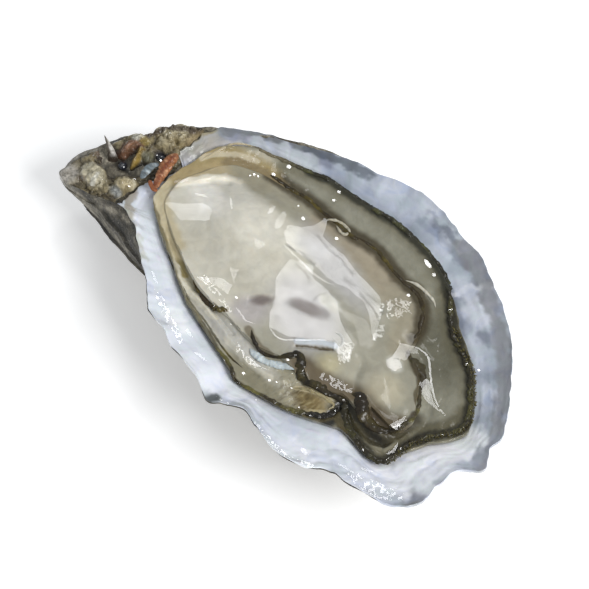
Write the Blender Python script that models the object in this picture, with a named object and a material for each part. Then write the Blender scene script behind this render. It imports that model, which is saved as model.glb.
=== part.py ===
"""An oyster on the half shell: the cupped lower valve with its hinge, the animal lying whole in it, and
the torn ligament left at the hinge.

X runs from the hinge to the lip, +Z is up, and the mantle lies smooth along the +Y side. The origin is
the middle of the small flat spot on the belly of the valve that the oyster rests on.
"""

import math

import bmesh
import bpy
import numpy as np
from mathutils import Vector, noise

MM = 0.001

# Driving sizes, in millimetres
FLOOR_SPOT = 13.0
CUP_FLOOR = 4.0
CUP_FLATNESS = 2.3
MANTLE_THICKNESS = 1.1
MANTLE_INSET = 0.995
GAP = 0.35
TROUGH_DEPTH = 1.7
FOLD_STEP = 1.6
FOLD_OVERHANG = 0.5
FOLD_STEEPNESS = 2.5

# The growth steps and the ribs of the outside, and how far both wander
TERRACES = 5
TERRACE_STEP = 1.3
TERRACE_WANDER = 0.6
RIB_COUNT = 9
RIB_HEIGHT = 1.0
RIB_WANDER = 2.0
WANDER_WAVES = 2.0

# How finely the solids are divided: steps round the valve, and rings from pole to pole
AROUND = 112
WALL_RINGS = 17
CUP_RINGS = 15
BAND_RINGS = 6
UNDER_RINGS = 6
SKIRT_RINGS = 5
FOLD_RINGS = 1
BODY_RINGS = 8
LIGAMENT_AROUND = 20
LIGAMENT_RINGS = 8

# The rings are read round this centre, in a plan that is squeezed to the valve's slim shape
CENTRE = (0.0, 1.0)
SLIMNESS = 0.58

# The rim of the valve: x, y and height, from the hinge along the far side, round the lip and back
RIM = [
    (-49.2, -3.2, 18.8), (-47.0, -0.2, 19.0), (-45.7, 2.9, 19.3), (-42.5, 7.0, 19.6),
    (-40.6, 9.2, 20.2), (-36.0, 13.4, 21.0),
    (-27.6, 18.9, 21.5), (-20.0, 23.0, 22.0), (-10.0, 26.7, 22.0), (0.5, 30.1, 22.4),
    (5.5, 30.1, 22.4), (12.0, 28.8, 21.9), (16.0, 29.2, 22.0), (22.4, 26.4, 22.4),
    (34.2, 20.6, 22.0), (40.7, 14.6, 21.6), (46.4, 8.4, 21.0), (48.5, 5.4, 20.8),
    (48.4, 2.8, 20.6), (51.7, -1.6, 21.2), (48.0, -5.4, 21.2), (48.6, -10.0, 21.5),
    (49.7, -15.5, 22.0), (46.6, -19.6, 22.2), (39.0, -21.7, 22.2), (33.8, -22.4, 21.6),
    (31.4, -25.2, 22.0), (26.4, -27.6, 22.4), (20.0, -27.0, 22.6), (15.0, -25.8, 22.0),
    (11.2, -27.4, 21.2), (8.4, -29.6, 19.4), (3.8, -27.7, 21.6), (-1.0, -27.6, 22.0),
    (-5.7, -27.4, 21.5), (-7.4, -26.1, 22.0), (-12.4, -25.9, 22.0), (-18.4, -21.6, 20.8),
    (-24.4, -18.6, 20.4), (-31.0, -14.8, 20.1), (-36.6, -13.4, 19.2), (-42.8, -15.0, 16.4),
    (-53.4, -17.4, 13.6), (-53.0, -15.4, 14.8), (-51.9, -10.8, 16.6), (-50.0, -6.6, 17.6),
]

# The line halfway down the outside: flared in under the near side and the lip, stout at the hinge
GIRTH = [
    (-47.5, -5.0, 9.0), (-41.0, 6.0, 9.5), (-30.0, 14.5, 9.0), (-15.0, 20.0, 9.0),
    (2.0, 23.0, 9.0), (18.0, 20.5, 9.0), (30.0, 13.0, 9.0), (35.0, 3.0, 9.0),
    (34.2, -7.0, 9.0), (30.5, -13.0, 9.0), (18.0, -16.8, 9.0), (2.0, -17.4, 9.0),
    (-12.0, -16.0, 9.0), (-21.0, -16.0, 9.0), (-29.0, -16.2, 8.5), (-36.5, -15.6, 8.2),
    (-46.2, -15.4, 8.6), (-50.0, -12.6, 9.6),
]

# The outer edge of the mantle, where it lies on the nacre
MANTLE = [
    (-35.2, 2.5, 19.4), (-34.2, 9.0, 19.3), (-30.0, 13.3, 19.0), (-24.0, 16.7, 18.8),
    (-15.0, 20.5, 18.8), (-8.0, 21.4, 18.8), (0.0, 23.4, 18.9), (8.0, 23.3, 18.9),
    (15.0, 21.6, 19.0), (20.0, 19.5, 19.0), (25.0, 16.2, 19.0), (33.0, 12.2, 19.0),
    (39.0, 7.2, 19.0), (43.0, 2.2, 19.2), (42.0, -1.2, 19.2), (40.0, -4.4, 19.3),
    (39.2, -9.0, 19.4), (39.2, -13.2, 19.4), (36.0, -15.2, 19.4), (28.0, -14.6, 19.4),
    (25.2, -16.6, 19.6), (19.0, -19.2, 19.6), (8.0, -22.1, 19.5), (0.0, -20.3, 19.5),
    (-10.0, -18.4, 19.4), (-20.0, -14.5, 19.4), (-28.0, -11.4, 19.5), (-33.6, -8.4, 19.6),
    (-35.2, -3.5, 19.6),
]

# The edge of the upper mantle, folded back over the body and gathered along the near side
FOLD = [
    (-32.6, 2.5, 19.8), (-30.6, 8.6, 19.0), (-25.0, 11.6, 18.8), (-18.0, 13.0, 18.8),
    (-9.0, 14.0, 18.8), (0.0, 15.8, 19.0), (8.0, 15.2, 19.0), (14.0, 14.6, 19.0),
    (18.4, 13.6, 19.0), (21.4, 10.0, 19.0), (23.0, 6.0, 19.0), (27.6, 4.4, 19.2),
    (32.0, -0.2, 19.4), (35.2, -3.6, 19.6), (35.2, -7.6, 19.8), (31.6, -9.8, 20.2),
    (26.0, -7.6, 20.4), (23.2, -9.8, 20.4), (17.0, -13.0, 20.2), (14.8, -13.2, 20.2),
    (12.0, -10.4, 20.4), (9.6, -13.2, 20.2), (5.0, -15.2, 20.2), (-3.0, -14.8, 20.2),
    (-12.0, -14.9, 20.2), (-20.0, -12.6, 20.2), (-26.6, -10.2, 20.2), (-31.6, -7.4, 20.0),
    (-33.2, -3.0, 20.2),
]

# The swellings of the body over its level: x, y, half length, half width and height
BODY_LEVEL = 20.4
SWELLINGS = [
    (-18.0, 1.0, 14.0, 9.0, 2.9),
    (-1.0, -6.0, 10.0, 6.0, 1.6),
    (8.0, 4.0, 10.0, 7.0, 1.5),
    (17.5, -8.0, 4.5, 4.0, 1.4),
    (25.5, 0.0, 5.0, 4.0, 1.2),
    (29.5, -5.0, 4.5, 3.5, 1.5),
]

# How the bare nacre drops from the rim, and the dents and swells of the hinge on it
NACRE_SAG = 0.8
RELIEF_FADE = 0.3
HINGE_RELIEF = [
    (-37.6, -3.5, 3.0, 5.0, 1.0),
    (-45.2, -6.0, 4.6, 2.8, -2.6),
    (-40.8, -4.0, 2.6, 3.2, -1.4),
    (-42.0, 3.0, 3.0, 3.4, 1.2),
]

# The rough knobs on and round the hinge: x, y, how far the middle stands above, and radius
KNOBS = [
    (-40.6, -9.6, -0.6, 3.0), (-45.0, -11.4, -0.6, 3.2), (-48.8, -13.0, -0.6, 2.6),
    (-37.4, -9.8, -0.4, 2.0), (-42.4, 4.0, -1.2, 2.6), (-44.6, 0.4, -1.0, 2.4),
    (-46.8, -2.8, -0.8, 2.2), (-39.4, 6.8, -1.0, 2.0), (-41.4, -0.4, -0.6, 1.8),
]
KNOB_FLATNESS = 0.75
KNOB_ROUGHNESS = 0.42
KNOB_GRAIN = 0.5

# The shard of the upper valve that stands at the hinge, and the ligament's pad
SHARD_FOOT = (-47.5, -6.9, 15.6)
SHARD_TIP = (-48.8, -7.8, 23.4)
SHARD_RADIUS = 1.4
SHARD_TIP_RADIUS = 0.12
SHARD_FLATNESS = 0.55
LIGAMENT = (-37.9, -2.6)
LIGAMENT_HALF = (1.5, 3.7)
LIGAMENT_THICKNESS = 1.5
LIGAMENT_LIFT = 0.75
LIGAMENT_TUFTS = 5
LIGAMENT_RAGGEDNESS = 0.16


def squeezed(x, y):
    """The angle and reach of a plan point round the centre, in the plan widened to a round."""
    dx = x - CENTRE[0]
    dy = (y - CENTRE[1]) / SLIMNESS
    return math.atan2(dy, dx), math.hypot(dx, dy)


def plan(angle, reach):
    """The plan point at an angle and a reach round the centre."""
    x = CENTRE[0] + reach * math.cos(angle)
    y = CENTRE[1] + SLIMNESS * reach * math.sin(angle)
    return x, y


def blend(a, b, share):
    return a + (b - a) * share


def eased(share):
    share = min(max(share, 0.0), 1.0)
    return share * share * (3.0 - 2.0 * share)


def swell(x, y, hills):
    """The height that a list of rounded hills adds at a plan point."""
    return sum(
        height * math.exp(-(((x - cx) / half_x) ** 2) - ((y - cy) / half_y) ** 2)
        for cx, cy, half_x, half_y, height in hills
    )


class Loop:
    """A closed line through points round the centre, with its corners a little rounded."""

    def __init__(self, points, rounding=0.025):
        placed = sorted((*squeezed(x, y), z) for x, y, z in points)
        self.angles, self.reaches, self.heights = np.array(placed).T
        self.rounding = rounding

    def at(self, angle):
        turns = angle + self.rounding * np.array([-1.0, 0.0, 1.0])
        reach = np.interp(turns, self.angles, self.reaches, period=math.tau).mean()
        height = np.interp(turns, self.angles, self.heights, period=math.tau).mean()
        return reach, height


rim = Loop(RIM)
girth = Loop(GIRTH, 0.1)
mantle = Loop(MANTLE)
fold = Loop(FOLD)


def wall(angle, depth):
    """The outside of the valve, from the rim at depth 0 to the middle of the flat spot at depth 1."""
    flat_from = 1.0 - 2.0 / WALL_RINGS
    if depth > flat_from:
        share = (1.0 - depth) / (1.0 - flat_from)
        return *plan(angle, FLOOR_SPOT * share), 0.0
    t = depth / flat_from
    top = np.array(rim.at(angle))
    foot = np.array((FLOOR_SPOT, 0.0))
    bend = 2.0 * np.array(girth.at(angle)) - 0.5 * (top + foot)
    reach, height = (1.0 - t) ** 2 * top + 2.0 * t * (1.0 - t) * bend + t * t * foot
    turn = Vector((math.cos(angle), math.sin(angle), 0.0)) * WANDER_WAVES
    wander = noise.noise(turn + Vector((0.0, 0.0, 0.5)))
    terrace = (t * TERRACES + TERRACE_WANDER * wander) % 1.0
    ribs = math.sin(RIB_COUNT * angle + RIB_WANDER * wander)
    sunk = TERRACE_STEP * terrace + RIB_HEIGHT * (1.0 + ribs) * (1.0 - t)
    return *plan(angle, reach - sunk * math.sin(math.pi * t) ** 0.5), max(height, 0.0)


def seat(angle):
    """The reach and height on the nacre just under the mantle's edge."""
    reach, height = mantle.at(angle)
    return reach, height - MANTLE_THICKNESS - GAP


def cup(angle, share):
    """The nacre under the animal, from the mantle's edge at share 0 to the middle at share 1."""
    reach, height = seat(angle)
    x, y = plan(angle, reach * (1.0 - share))
    return x, y, CUP_FLOOR + (height - CUP_FLOOR) * (1.0 - share) ** CUP_FLATNESS


def band(angle, share):
    """The bare nacre from the rim at share 0 to the mantle's edge at share 1, with the hinge."""
    rim_reach, rim_height = rim.at(angle)
    seat_reach, seat_height = seat(angle)
    x, y = plan(angle, blend(rim_reach, seat_reach, share))
    z = blend(rim_height, seat_height, share ** NACRE_SAG)
    return x, y, z + swell(x, y, HINGE_RELIEF) * math.sin(math.pi * share) ** RELIEF_FADE


def nacre_height(x, y):
    """The height of the bare nacre, or of the hinge, under a plan point outside the mantle."""
    angle, reach = squeezed(x, y)
    rim_reach = rim.at(angle)[0]
    share = (rim_reach - reach) / (rim_reach - seat(angle)[0])
    return band(angle, min(max(share, 0.0), 1.0))[2]


def skirt(angle, share):
    """The top of the mantle from its outer edge at share 0 to the foot of the fold at share 1."""
    outer_reach, outer_height = mantle.at(angle)
    fold_reach, fold_height = fold.at(angle)
    x, y = plan(angle, blend(outer_reach * MANTLE_INSET, fold_reach + FOLD_OVERHANG, share))
    z = blend(outer_height, fold_height - FOLD_STEP, share)
    return x, y, z - TROUGH_DEPTH * math.sin(math.pi * share)


def body(angle, share):
    """The top of the body from the fold's edge at share 0 to the middle at share 1."""
    reach, height = fold.at(angle)
    x, y = plan(angle, reach * (1.0 - share))
    z = BODY_LEVEL + swell(x, y, SWELLINGS)
    return x, y, blend(height, z, eased(FOLD_STEEPNESS * share))


def valve_surface(angle, ring):
    if ring < WALL_RINGS:
        return wall(angle, 1.0 - ring / WALL_RINGS)
    inward = ring - WALL_RINGS
    if inward <= BAND_RINGS:
        return band(angle, inward / BAND_RINGS)
    return cup(angle, (inward - BAND_RINGS) / (CUP_RINGS - BAND_RINGS))


def animal_surface(angle, ring):
    if ring <= UNDER_RINGS:
        x, y, z = cup(angle, 1.0 - ring / UNDER_RINGS)
        return x, y, z + GAP
    inward = ring - UNDER_RINGS - 1
    if inward <= SKIRT_RINGS:
        return skirt(angle, inward / SKIRT_RINGS)
    return body(angle, (inward - SKIRT_RINGS - FOLD_RINGS) / BODY_RINGS)


def ligament_surface(angle, ring):
    share = ring / LIGAMENT_RINGS
    ragged = 1.0 + LIGAMENT_RAGGEDNESS * math.sin(LIGAMENT_TUFTS * angle + 1.0)
    wide = math.sin(math.pi * share) * ragged
    x = LIGAMENT[0] + LIGAMENT_HALF[0] * wide * math.cos(angle)
    y = LIGAMENT[1] + LIGAMENT_HALF[1] * wide * math.sin(angle)
    under = nacre_height(x, y) + LIGAMENT_LIFT
    return x, y, under + LIGAMENT_THICKNESS * 0.5 * (1.0 - math.cos(math.pi * share))


def material(name, colour, roughness):
    made = bpy.data.materials.new(name)
    made.use_nodes = True
    shader = made.node_tree.nodes["Principled BSDF"]
    shader.inputs["Base Color"].default_value = (*colour, 1.0)
    shader.inputs["Roughness"].default_value = roughness
    made.diffuse_color = (*colour, 1.0)
    return made


def placed(name, bm, collection, finish=None):
    """An object with the mesh of a bmesh, faces outward, in a collection."""
    bmesh.ops.recalc_face_normals(bm, faces=bm.faces)
    mesh = bpy.data.meshes.new(name)
    bm.to_mesh(mesh)
    bm.free()
    mesh.shade_smooth()
    made = bpy.data.objects.new(name, mesh)
    collection.objects.link(made)
    if finish:
        mesh.materials.append(finish)
    return made


def shaped_sphere(name, around, rings, surface, collection, finish):
    """A sphere whose points are moved by their angle and their ring, from the lowest to the top one."""
    bm = bmesh.new()
    bmesh.ops.create_uvsphere(bm, u_segments=around, v_segments=rings, radius=1.0)
    for vert in bm.verts:
        ring = round((math.asin(max(-1.0, min(1.0, vert.co.z))) / math.pi + 0.5) * rings)
        angle = math.atan2(vert.co.y, vert.co.x)
        vert.co = Vector(surface(angle, ring)) * MM
    return placed(name, bm, collection, finish)


def knob(name, x, y, lift, radius, collection):
    """A rough rounded knob, dented by noise."""
    bm = bmesh.new()
    bmesh.ops.create_icosphere(bm, subdivisions=2, radius=radius)
    middle = Vector((x, y, nacre_height(x, y) + lift))
    for vert in bm.verts:
        rough = noise.noise(vert.co * KNOB_GRAIN + middle)
        vert.co.z *= KNOB_FLATNESS
        vert.co = (vert.co * (1.0 + KNOB_ROUGHNESS * rough) + middle) * MM
    return placed(name, bm, collection)


def shard(name, foot, tip, radius, collection):
    """A thin pointed splinter of shell, flattened across."""
    bm = bmesh.new()
    along = Vector(tip) - Vector(foot)
    bmesh.ops.create_cone(
        bm,
        cap_ends=True,
        segments=8,
        radius1=radius,
        radius2=SHARD_TIP_RADIUS,
        depth=along.length,
    )
    turn = Vector((0.0, 0.0, 1.0)).rotation_difference(along)
    middle = (Vector(tip) + Vector(foot)) / 2.0
    for vert in bm.verts:
        vert.co.y *= SHARD_FLATNESS
        vert.co = (turn @ vert.co + middle) * MM
    return placed(name, bm, collection)


for old in list(bpy.data.objects):
    bpy.data.objects.remove(old, do_unlink=True)

oyster = bpy.data.collections.new("oyster_half_shell")
joined = bpy.data.collections.new("knobs_and_shard")
bpy.context.scene.collection.children.link(oyster)
bpy.context.scene.collection.children.link(joined)

shell_finish = material("shell_nacre", (0.66, 0.70, 0.78), 0.35)
flesh_finish = material("oyster_flesh", (0.55, 0.50, 0.40), 0.25)
ligament_finish = material("torn_ligament", (0.30, 0.12, 0.06), 0.5)

valve_rings = WALL_RINGS + CUP_RINGS
shell = shaped_sphere("shell", AROUND, valve_rings, valve_surface, oyster, shell_finish)
for number, (x, y, lift, radius) in enumerate(KNOBS):
    knob(f"knob_{number}", x, y, lift, radius, joined)
shard("shard", SHARD_FOOT, SHARD_TIP, SHARD_RADIUS, joined)

union = shell.modifiers.new("knobs_and_shard", "BOOLEAN")
union.operation = "UNION"
union.operand_type = "COLLECTION"
union.solver = "MANIFOLD"
union.collection = joined
evaluated = shell.evaluated_get(bpy.context.evaluated_depsgraph_get())
fused = bpy.data.meshes.new_from_object(evaluated)
shell.modifiers.clear()
shell.data = fused
for scrap in list(joined.objects):
    bpy.data.objects.remove(scrap, do_unlink=True)

animal_rings = UNDER_RINGS + 1 + SKIRT_RINGS + FOLD_RINGS + BODY_RINGS
shaped_sphere("animal", AROUND, animal_rings, animal_surface, oyster, flesh_finish)
shaped_sphere(
    "ligament", LIGAMENT_AROUND, LIGAMENT_RINGS, ligament_surface, oyster, ligament_finish
)
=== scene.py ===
import math

import bpy
import numpy as np
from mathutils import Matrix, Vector, geometry, noise
from mathutils.bvhtree import BVHTree


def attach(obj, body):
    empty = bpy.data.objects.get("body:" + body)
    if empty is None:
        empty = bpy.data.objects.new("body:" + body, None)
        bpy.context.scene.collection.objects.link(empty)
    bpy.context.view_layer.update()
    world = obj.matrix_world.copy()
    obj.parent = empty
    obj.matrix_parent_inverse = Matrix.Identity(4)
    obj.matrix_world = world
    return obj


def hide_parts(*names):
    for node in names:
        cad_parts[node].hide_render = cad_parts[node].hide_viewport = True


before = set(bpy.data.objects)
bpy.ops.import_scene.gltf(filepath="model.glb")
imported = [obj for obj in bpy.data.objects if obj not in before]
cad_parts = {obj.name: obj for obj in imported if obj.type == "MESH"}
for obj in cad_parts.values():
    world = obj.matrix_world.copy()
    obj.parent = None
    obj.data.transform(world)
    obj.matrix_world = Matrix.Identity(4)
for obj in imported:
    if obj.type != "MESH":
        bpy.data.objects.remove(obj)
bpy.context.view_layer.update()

# The crust: the rough outer layers of the lower valve, laid down a growth step at a time, with ribs that
# run to the lip. Its edge shows as a thin dark line round the nacre, and its side shows at the hinge.

MM = 0.001
CENTRE_Y = 1.0
SLIMNESS = 0.58
# The outlines are x, y and height, in millimetres.
RIM = [
    (-49.2, -3.2, 18.8), (-47.0, -0.2, 19.0), (-45.7, 2.9, 19.3), (-42.5, 7.0, 19.6),
    (-40.6, 9.2, 20.2), (-36.0, 13.4, 21.0),
    (-27.6, 18.9, 21.5), (-20.0, 23.0, 22.0), (-10.0, 26.7, 22.0), (0.5, 30.1, 22.4),
    (5.5, 30.1, 22.4), (12.0, 28.8, 21.9), (16.0, 29.2, 22.0), (22.4, 26.4, 22.4),
    (34.2, 20.6, 22.0), (40.7, 14.6, 21.6), (46.4, 8.4, 21.0), (48.5, 5.4, 20.8),
    (48.4, 2.8, 20.6), (51.7, -1.6, 21.2), (48.0, -5.4, 21.2), (48.6, -10.0, 21.5),
    (49.7, -15.5, 22.0), (46.6, -19.6, 22.2), (39.0, -21.7, 22.2), (33.8, -22.4, 21.6),
    (31.4, -25.2, 22.0), (26.4, -27.6, 22.4), (20.0, -27.0, 22.6), (15.0, -25.8, 22.0),
    (11.2, -27.4, 21.2), (8.4, -29.6, 19.4), (3.8, -27.7, 21.6), (-1.0, -27.6, 22.0),
    (-5.7, -27.4, 21.5), (-7.4, -26.1, 22.0), (-12.4, -25.9, 22.0), (-18.4, -21.6, 20.8),
    (-24.4, -18.6, 20.4), (-31.0, -14.8, 20.1), (-36.6, -13.4, 19.2), (-42.8, -15.0, 16.4),
    (-53.4, -17.4, 13.6), (-53.0, -15.4, 14.8), (-51.9, -10.8, 16.6), (-50.0, -6.6, 17.6),
]
GIRTH = [
    (-47.5, -5.0, 9.0), (-41.0, 6.0, 9.5), (-30.0, 14.5, 9.0), (-15.0, 20.0, 9.0),
    (2.0, 23.0, 9.0), (18.0, 20.5, 9.0), (30.0, 13.0, 9.0), (35.0, 3.0, 9.0),
    (34.2, -7.0, 9.0), (30.5, -13.0, 9.0), (18.0, -16.8, 9.0), (2.0, -17.4, 9.0),
    (-12.0, -16.0, 9.0), (-21.0, -16.0, 9.0), (-29.0, -16.2, 8.5), (-36.5, -15.6, 8.2),
    (-46.2, -15.4, 8.6), (-50.0, -12.6, 9.6),
]
MANTLE_EDGE = [
    (-35.4, 2.5, 19.4), (-35.0, 9.6, 19.3), (-30.8, 14.3, 19.0), (-24.4, 17.1, 18.8),
    (-15.0, 20.5, 18.8), (-8.0, 21.4, 18.8), (0.0, 23.4, 18.9), (8.0, 23.3, 18.9),
    (15.0, 21.6, 19.0), (20.0, 19.5, 19.0), (25.0, 16.2, 19.0), (33.0, 12.2, 19.0),
    (39.0, 7.2, 19.0), (43.0, 2.2, 19.2), (42.0, -1.2, 19.2), (40.0, -4.4, 19.3),
    (38.6, -9.0, 19.4), (38.3, -12.8, 19.4), (36.0, -14.6, 19.4), (28.0, -14.2, 19.4),
    (24.6, -16.2, 19.6), (19.0, -19.2, 19.6), (8.0, -22.1, 19.5), (0.0, -20.3, 19.5),
    (-10.0, -18.4, 19.4), (-20.0, -14.5, 19.4), (-28.0, -11.4, 19.5), (-33.6, -8.4, 19.6),
    (-35.2, -3.5, 19.6),
]
FLOOR_SPOT = 13.0
CUP_FLOOR = 4.0
CUP_FLATNESS = 2.3
SEAT_DROP = 1.45
NACRE_SAG = 0.8
AROUND = 640


def squeezed(x, y):
    """The angle and reach of plan points round the middle of the valve, widened to a round."""
    dy = (y - CENTRE_Y) / SLIMNESS
    return np.arctan2(dy, x), np.hypot(x, dy)


def plan(angle, reach):
    """The plan points at an angle and a reach round the middle of the valve."""
    return reach * np.cos(angle), CENTRE_Y + SLIMNESS * reach * np.sin(angle)


def blend(a, b, share):
    return a + (b - a) * share


def eased(share):
    share = np.clip(share, 0.0, 1.0)
    return share * share * (3.0 - 2.0 * share)


def swell(x, y, hills):
    """The height that a list of rounded hills adds at plan points."""
    return sum(
        height * np.exp(-(((x - cx) / half_x) ** 2) - ((y - cy) / half_y) ** 2)
        for cx, cy, half_x, half_y, height in hills
    )


def fractal(points, grain, octaves=3, seed=0.0):
    """Rough noise from about -1 to 1 at points in millimetres, with lumps of a grain's size."""
    shift = Vector((seed, 1.7 * seed, -2.3 * seed))
    return np.array([
        noise.fractal(Vector(point) / grain + shift, 1.0, 2.0, octaves) for point in points.tolist()
    ])


def at_level(x, y, z=0.0):
    """Points in an array of their own, from plan places and heights."""
    return np.stack(np.broadcast_arrays(x, y, z), -1)


def uneven(x, y, grain, octaves, seed):
    """Rough noise over plan places."""
    return fractal(at_level(x, y), grain, octaves, seed)


UP = np.array([0.0, 0.0, 1.0])


def lengths(line):
    """The way along a line up to each of its points."""
    return np.concatenate([[0.0], np.cumsum(np.linalg.norm(np.diff(line, axis=0), axis=1))])


def evened(line, count, to_end=True):
    """Points spread evenly along a line."""
    run = lengths(line)
    spread = np.linspace(0.0, run[-1], count, endpoint=to_end)
    return np.stack([np.interp(spread, run, values) for values in line.T], 1)


def circle(count):
    """Angles spread evenly round a circle."""
    return np.linspace(0.0, math.tau, count, endpoint=False)


class Loop:
    """A closed line through points round the middle of the valve, with its corners rounded."""

    def __init__(self, points, rounding=0.03):
        angles, reaches = squeezed(*np.array(points)[:, :2].T)
        order = np.argsort(angles)
        self.angles = angles[order]
        self.reaches = reaches[order]
        self.heights = np.array(points)[order, 2]
        self.taps = rounding * np.linspace(-1.0, 1.0, 7)

    def at(self, angle):
        turns = np.asarray(angle)[..., None] + self.taps
        reach = np.interp(turns, self.angles, self.reaches, period=math.tau).mean(-1)
        height = np.interp(turns, self.angles, self.heights, period=math.tau).mean(-1)
        return reach, height

    def even_angles(self, count, start=-math.pi, end=math.pi, steps=8001, to_end=False):
        """Angles that cut the loop, or a stretch of it, into equal lengths, measured in small steps."""
        turn = np.linspace(start, end, steps)
        run = lengths(np.stack(plan(turn, self.at(turn)[0]), 1))
        return np.interp(np.linspace(0.0, run[-1], count, endpoint=to_end), run, turn)


rim_loop = Loop(RIM)
girth_loop = Loop(GIRTH, 0.1)
mantle_loop = Loop(MANTLE_EDGE)


def rim(angle):
    """The crinkled rim: its reach and height."""
    reach, height = rim_loop.at(angle)
    line = at_level(*plan(angle, reach))
    return reach + 0.35 * fractal(line, 2.6, 3, 3.0), height + 0.4 * fractal(line, 3.4, 2, 7.0)


def seat(angle):
    """The reach and height on the nacre just under the mantle's edge."""
    reach, height = mantle_loop.at(angle)
    return reach, height - SEAT_DROP


def band(angle, share, rim_line, seat_line):
    """The bare inside of the valve from the rim at share 0 to the mantle's edge at share 1."""
    x, y = plan(angle, blend(rim_line[0], seat_line[0], share))
    return x, y, blend(rim_line[1], seat_line[1], share ** NACRE_SAG)


def linked(name, data):
    """A named object of the scene."""
    made = bpy.data.objects.new(name, data)
    bpy.context.scene.collection.objects.link(made)
    return made


def skinned(name, points, faces):
    """A smooth piece with its faces over points in millimetres."""
    mesh = bpy.data.meshes.new(name)
    mesh.from_pydata((points * MM).tolist(), [], faces)
    mesh.validate()
    mesh.shade_smooth()
    return linked(name, mesh)


def outline_of_rings(points, name, closed_to="poles"):
    """A skin of four-sided faces over rings of points, (rings, around, 3) in millimetres, closed either
    by a point in the middle of its first and last ring or by joining the two."""
    rings, around, _ = points.shape
    verts = points.reshape(-1, 3)
    index = np.arange(rings * around).reshape(rings, around)
    if closed_to == "itself":
        lower, upper = index, np.roll(index, -1, axis=0)
    else:
        lower, upper = index[:-1], index[1:]
    faces = np.stack(
        [lower, np.roll(lower, -1, axis=1), np.roll(upper, -1, axis=1), upper], -1
    ).reshape(-1, 4).tolist()
    if closed_to == "poles":
        middles = np.stack([points[0].mean(0), points[-1].mean(0)])
        verts = np.concatenate([verts, middles])
        first, last = rings * around, rings * around + 1
        following = np.roll(index, -1, axis=1)
        faces += [[first, b, a] for a, b in zip(index[0].tolist(), following[0].tolist())]
        faces += [[last, a, b] for a, b in zip(index[-1].tolist(), following[-1].tolist())]
    corners = np.array([face[:3] for face in faces])
    a, b, c = (verts[corners[:, i]] for i in range(3))
    if np.einsum("ij,ij->i", a, np.cross(b, c)).sum() < 0.0:
        faces = [face[::-1] for face in faces]
    return skinned(name, verts, faces), verts


class Value:
    """A number or colour on its way through a finish's nodes, with its sums written as signs."""

    def __init__(self, nodes, socket):
        self.nodes = nodes
        self.socket = socket

    def sign(self, operation, first, second):
        return self.nodes.node("ShaderNodeMath", {"operation": operation}, {0: first, 1: second})

    def __add__(self, other):
        return self.sign("ADD", self, other)

    def __mul__(self, other):
        return self.sign("MULTIPLY", self, other)

    __radd__ = __add__
    __rmul__ = __mul__


class Nodes:
    """A tree whose nodes are written one call a node."""

    def __init__(self, tree):
        self.tree = tree

    def feed(self, node, values):
        for key, value in values.items():
            if isinstance(value, Value):
                self.tree.links.new(value.socket, node.inputs[key])
            else:
                node.inputs[key].default_value = value

    def node(self, kind, settings=None, values=None, output=0):
        made = self.tree.nodes.new(kind)
        for key, value in (settings or {}).items():
            if key == "stops":
                while len(made.color_ramp.elements) < len(value):
                    made.color_ramp.elements.new(1.0)
                for element, (position, colour) in zip(made.color_ramp.elements, value):
                    element.position = position
                    element.color = (*colour, 1.0)
            else:
                setattr(made, key, value)
        self.feed(made, values or {})
        return Value(self, made.outputs[output])


class Finish(Nodes):
    """A material built on one shader."""

    def __init__(self, name, constants):
        self.material = bpy.data.materials.new(name)
        self.material.use_nodes = True
        super().__init__(self.material.node_tree)
        self.shader = self.tree.nodes["Principled BSDF"]
        self.feed(self.shader, constants)

    def mixed(self, factor, a, b, how="MIX"):
        a, b = (value if isinstance(value, Value) else (*value, 1.0) for value in (a, b))
        settings = {"data_type": "RGBA", "blend_type": how}
        return self.node("ShaderNodeMix", settings, {0: factor, 6: a, 7: b}, 2)

    def grain(self, size, detail=3.0, roughness=0.55, warp=0.0, stretch=None):
        """Noise with lumps of a size in millimetres, from 0 to 1."""
        place = self.node("ShaderNodeTexCoord", None, None, "Object")
        if stretch:
            place = self.node("ShaderNodeMapping", None, {"Vector": place, "Scale": stretch})
        values = {"Vector": place, "Scale": 1.0 / (size * MM), "Detail": detail,
                  "Roughness": roughness, "Distortion": warp}
        return self.node("ShaderNodeTexNoise", None, values)

    def between(self, value, low, high, to_low=0.0, to_high=1.0):
        settings = {"interpolation_type": "SMOOTHSTEP"}
        values = {0: value, 1: low, 2: high, 3: to_low, 4: to_high}
        return self.node("ShaderNodeMapRange", settings, values)

    def painted(self):
        return self.node("ShaderNodeAttribute", {"attribute_name": "paint"}, None, "Color")

    def tinted(self, mask, low, high, darker, paler):
        """The paint, darkened and paled by a mask."""
        shade = self.mixed(self.between(mask, low, high), darker, paler)
        return self.mixed(1.0, self.painted(), shade, "MULTIPLY")

    def surface(self, base, normal):
        self.feed(self.shader, {"Base Color": base, "Normal": normal})

    def bumps(self, height, distance):
        return self.node("ShaderNodeBump", None, {"Height": height, "Distance": distance * MM})


def colour(red, green, blue):
    """The light of a colour given as it looks, from 0 to 255."""
    return tuple(
        c / 12.92 if c <= 0.04045 else ((c + 0.055) / 1.055) ** 2.4
        for c in (red / 255.0, green / 255.0, blue / 255.0)
    )


LEVEL = 20.0
LEAN = (0.536, -0.45)


def on_level(points):
    """Where sloping lines through points meet the 20 mm level, on which all places are given."""
    rise = points[..., 2] - LEVEL
    return points[..., 0] - LEAN[0] * rise, points[..., 1] - LEAN[1] * rise


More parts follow.
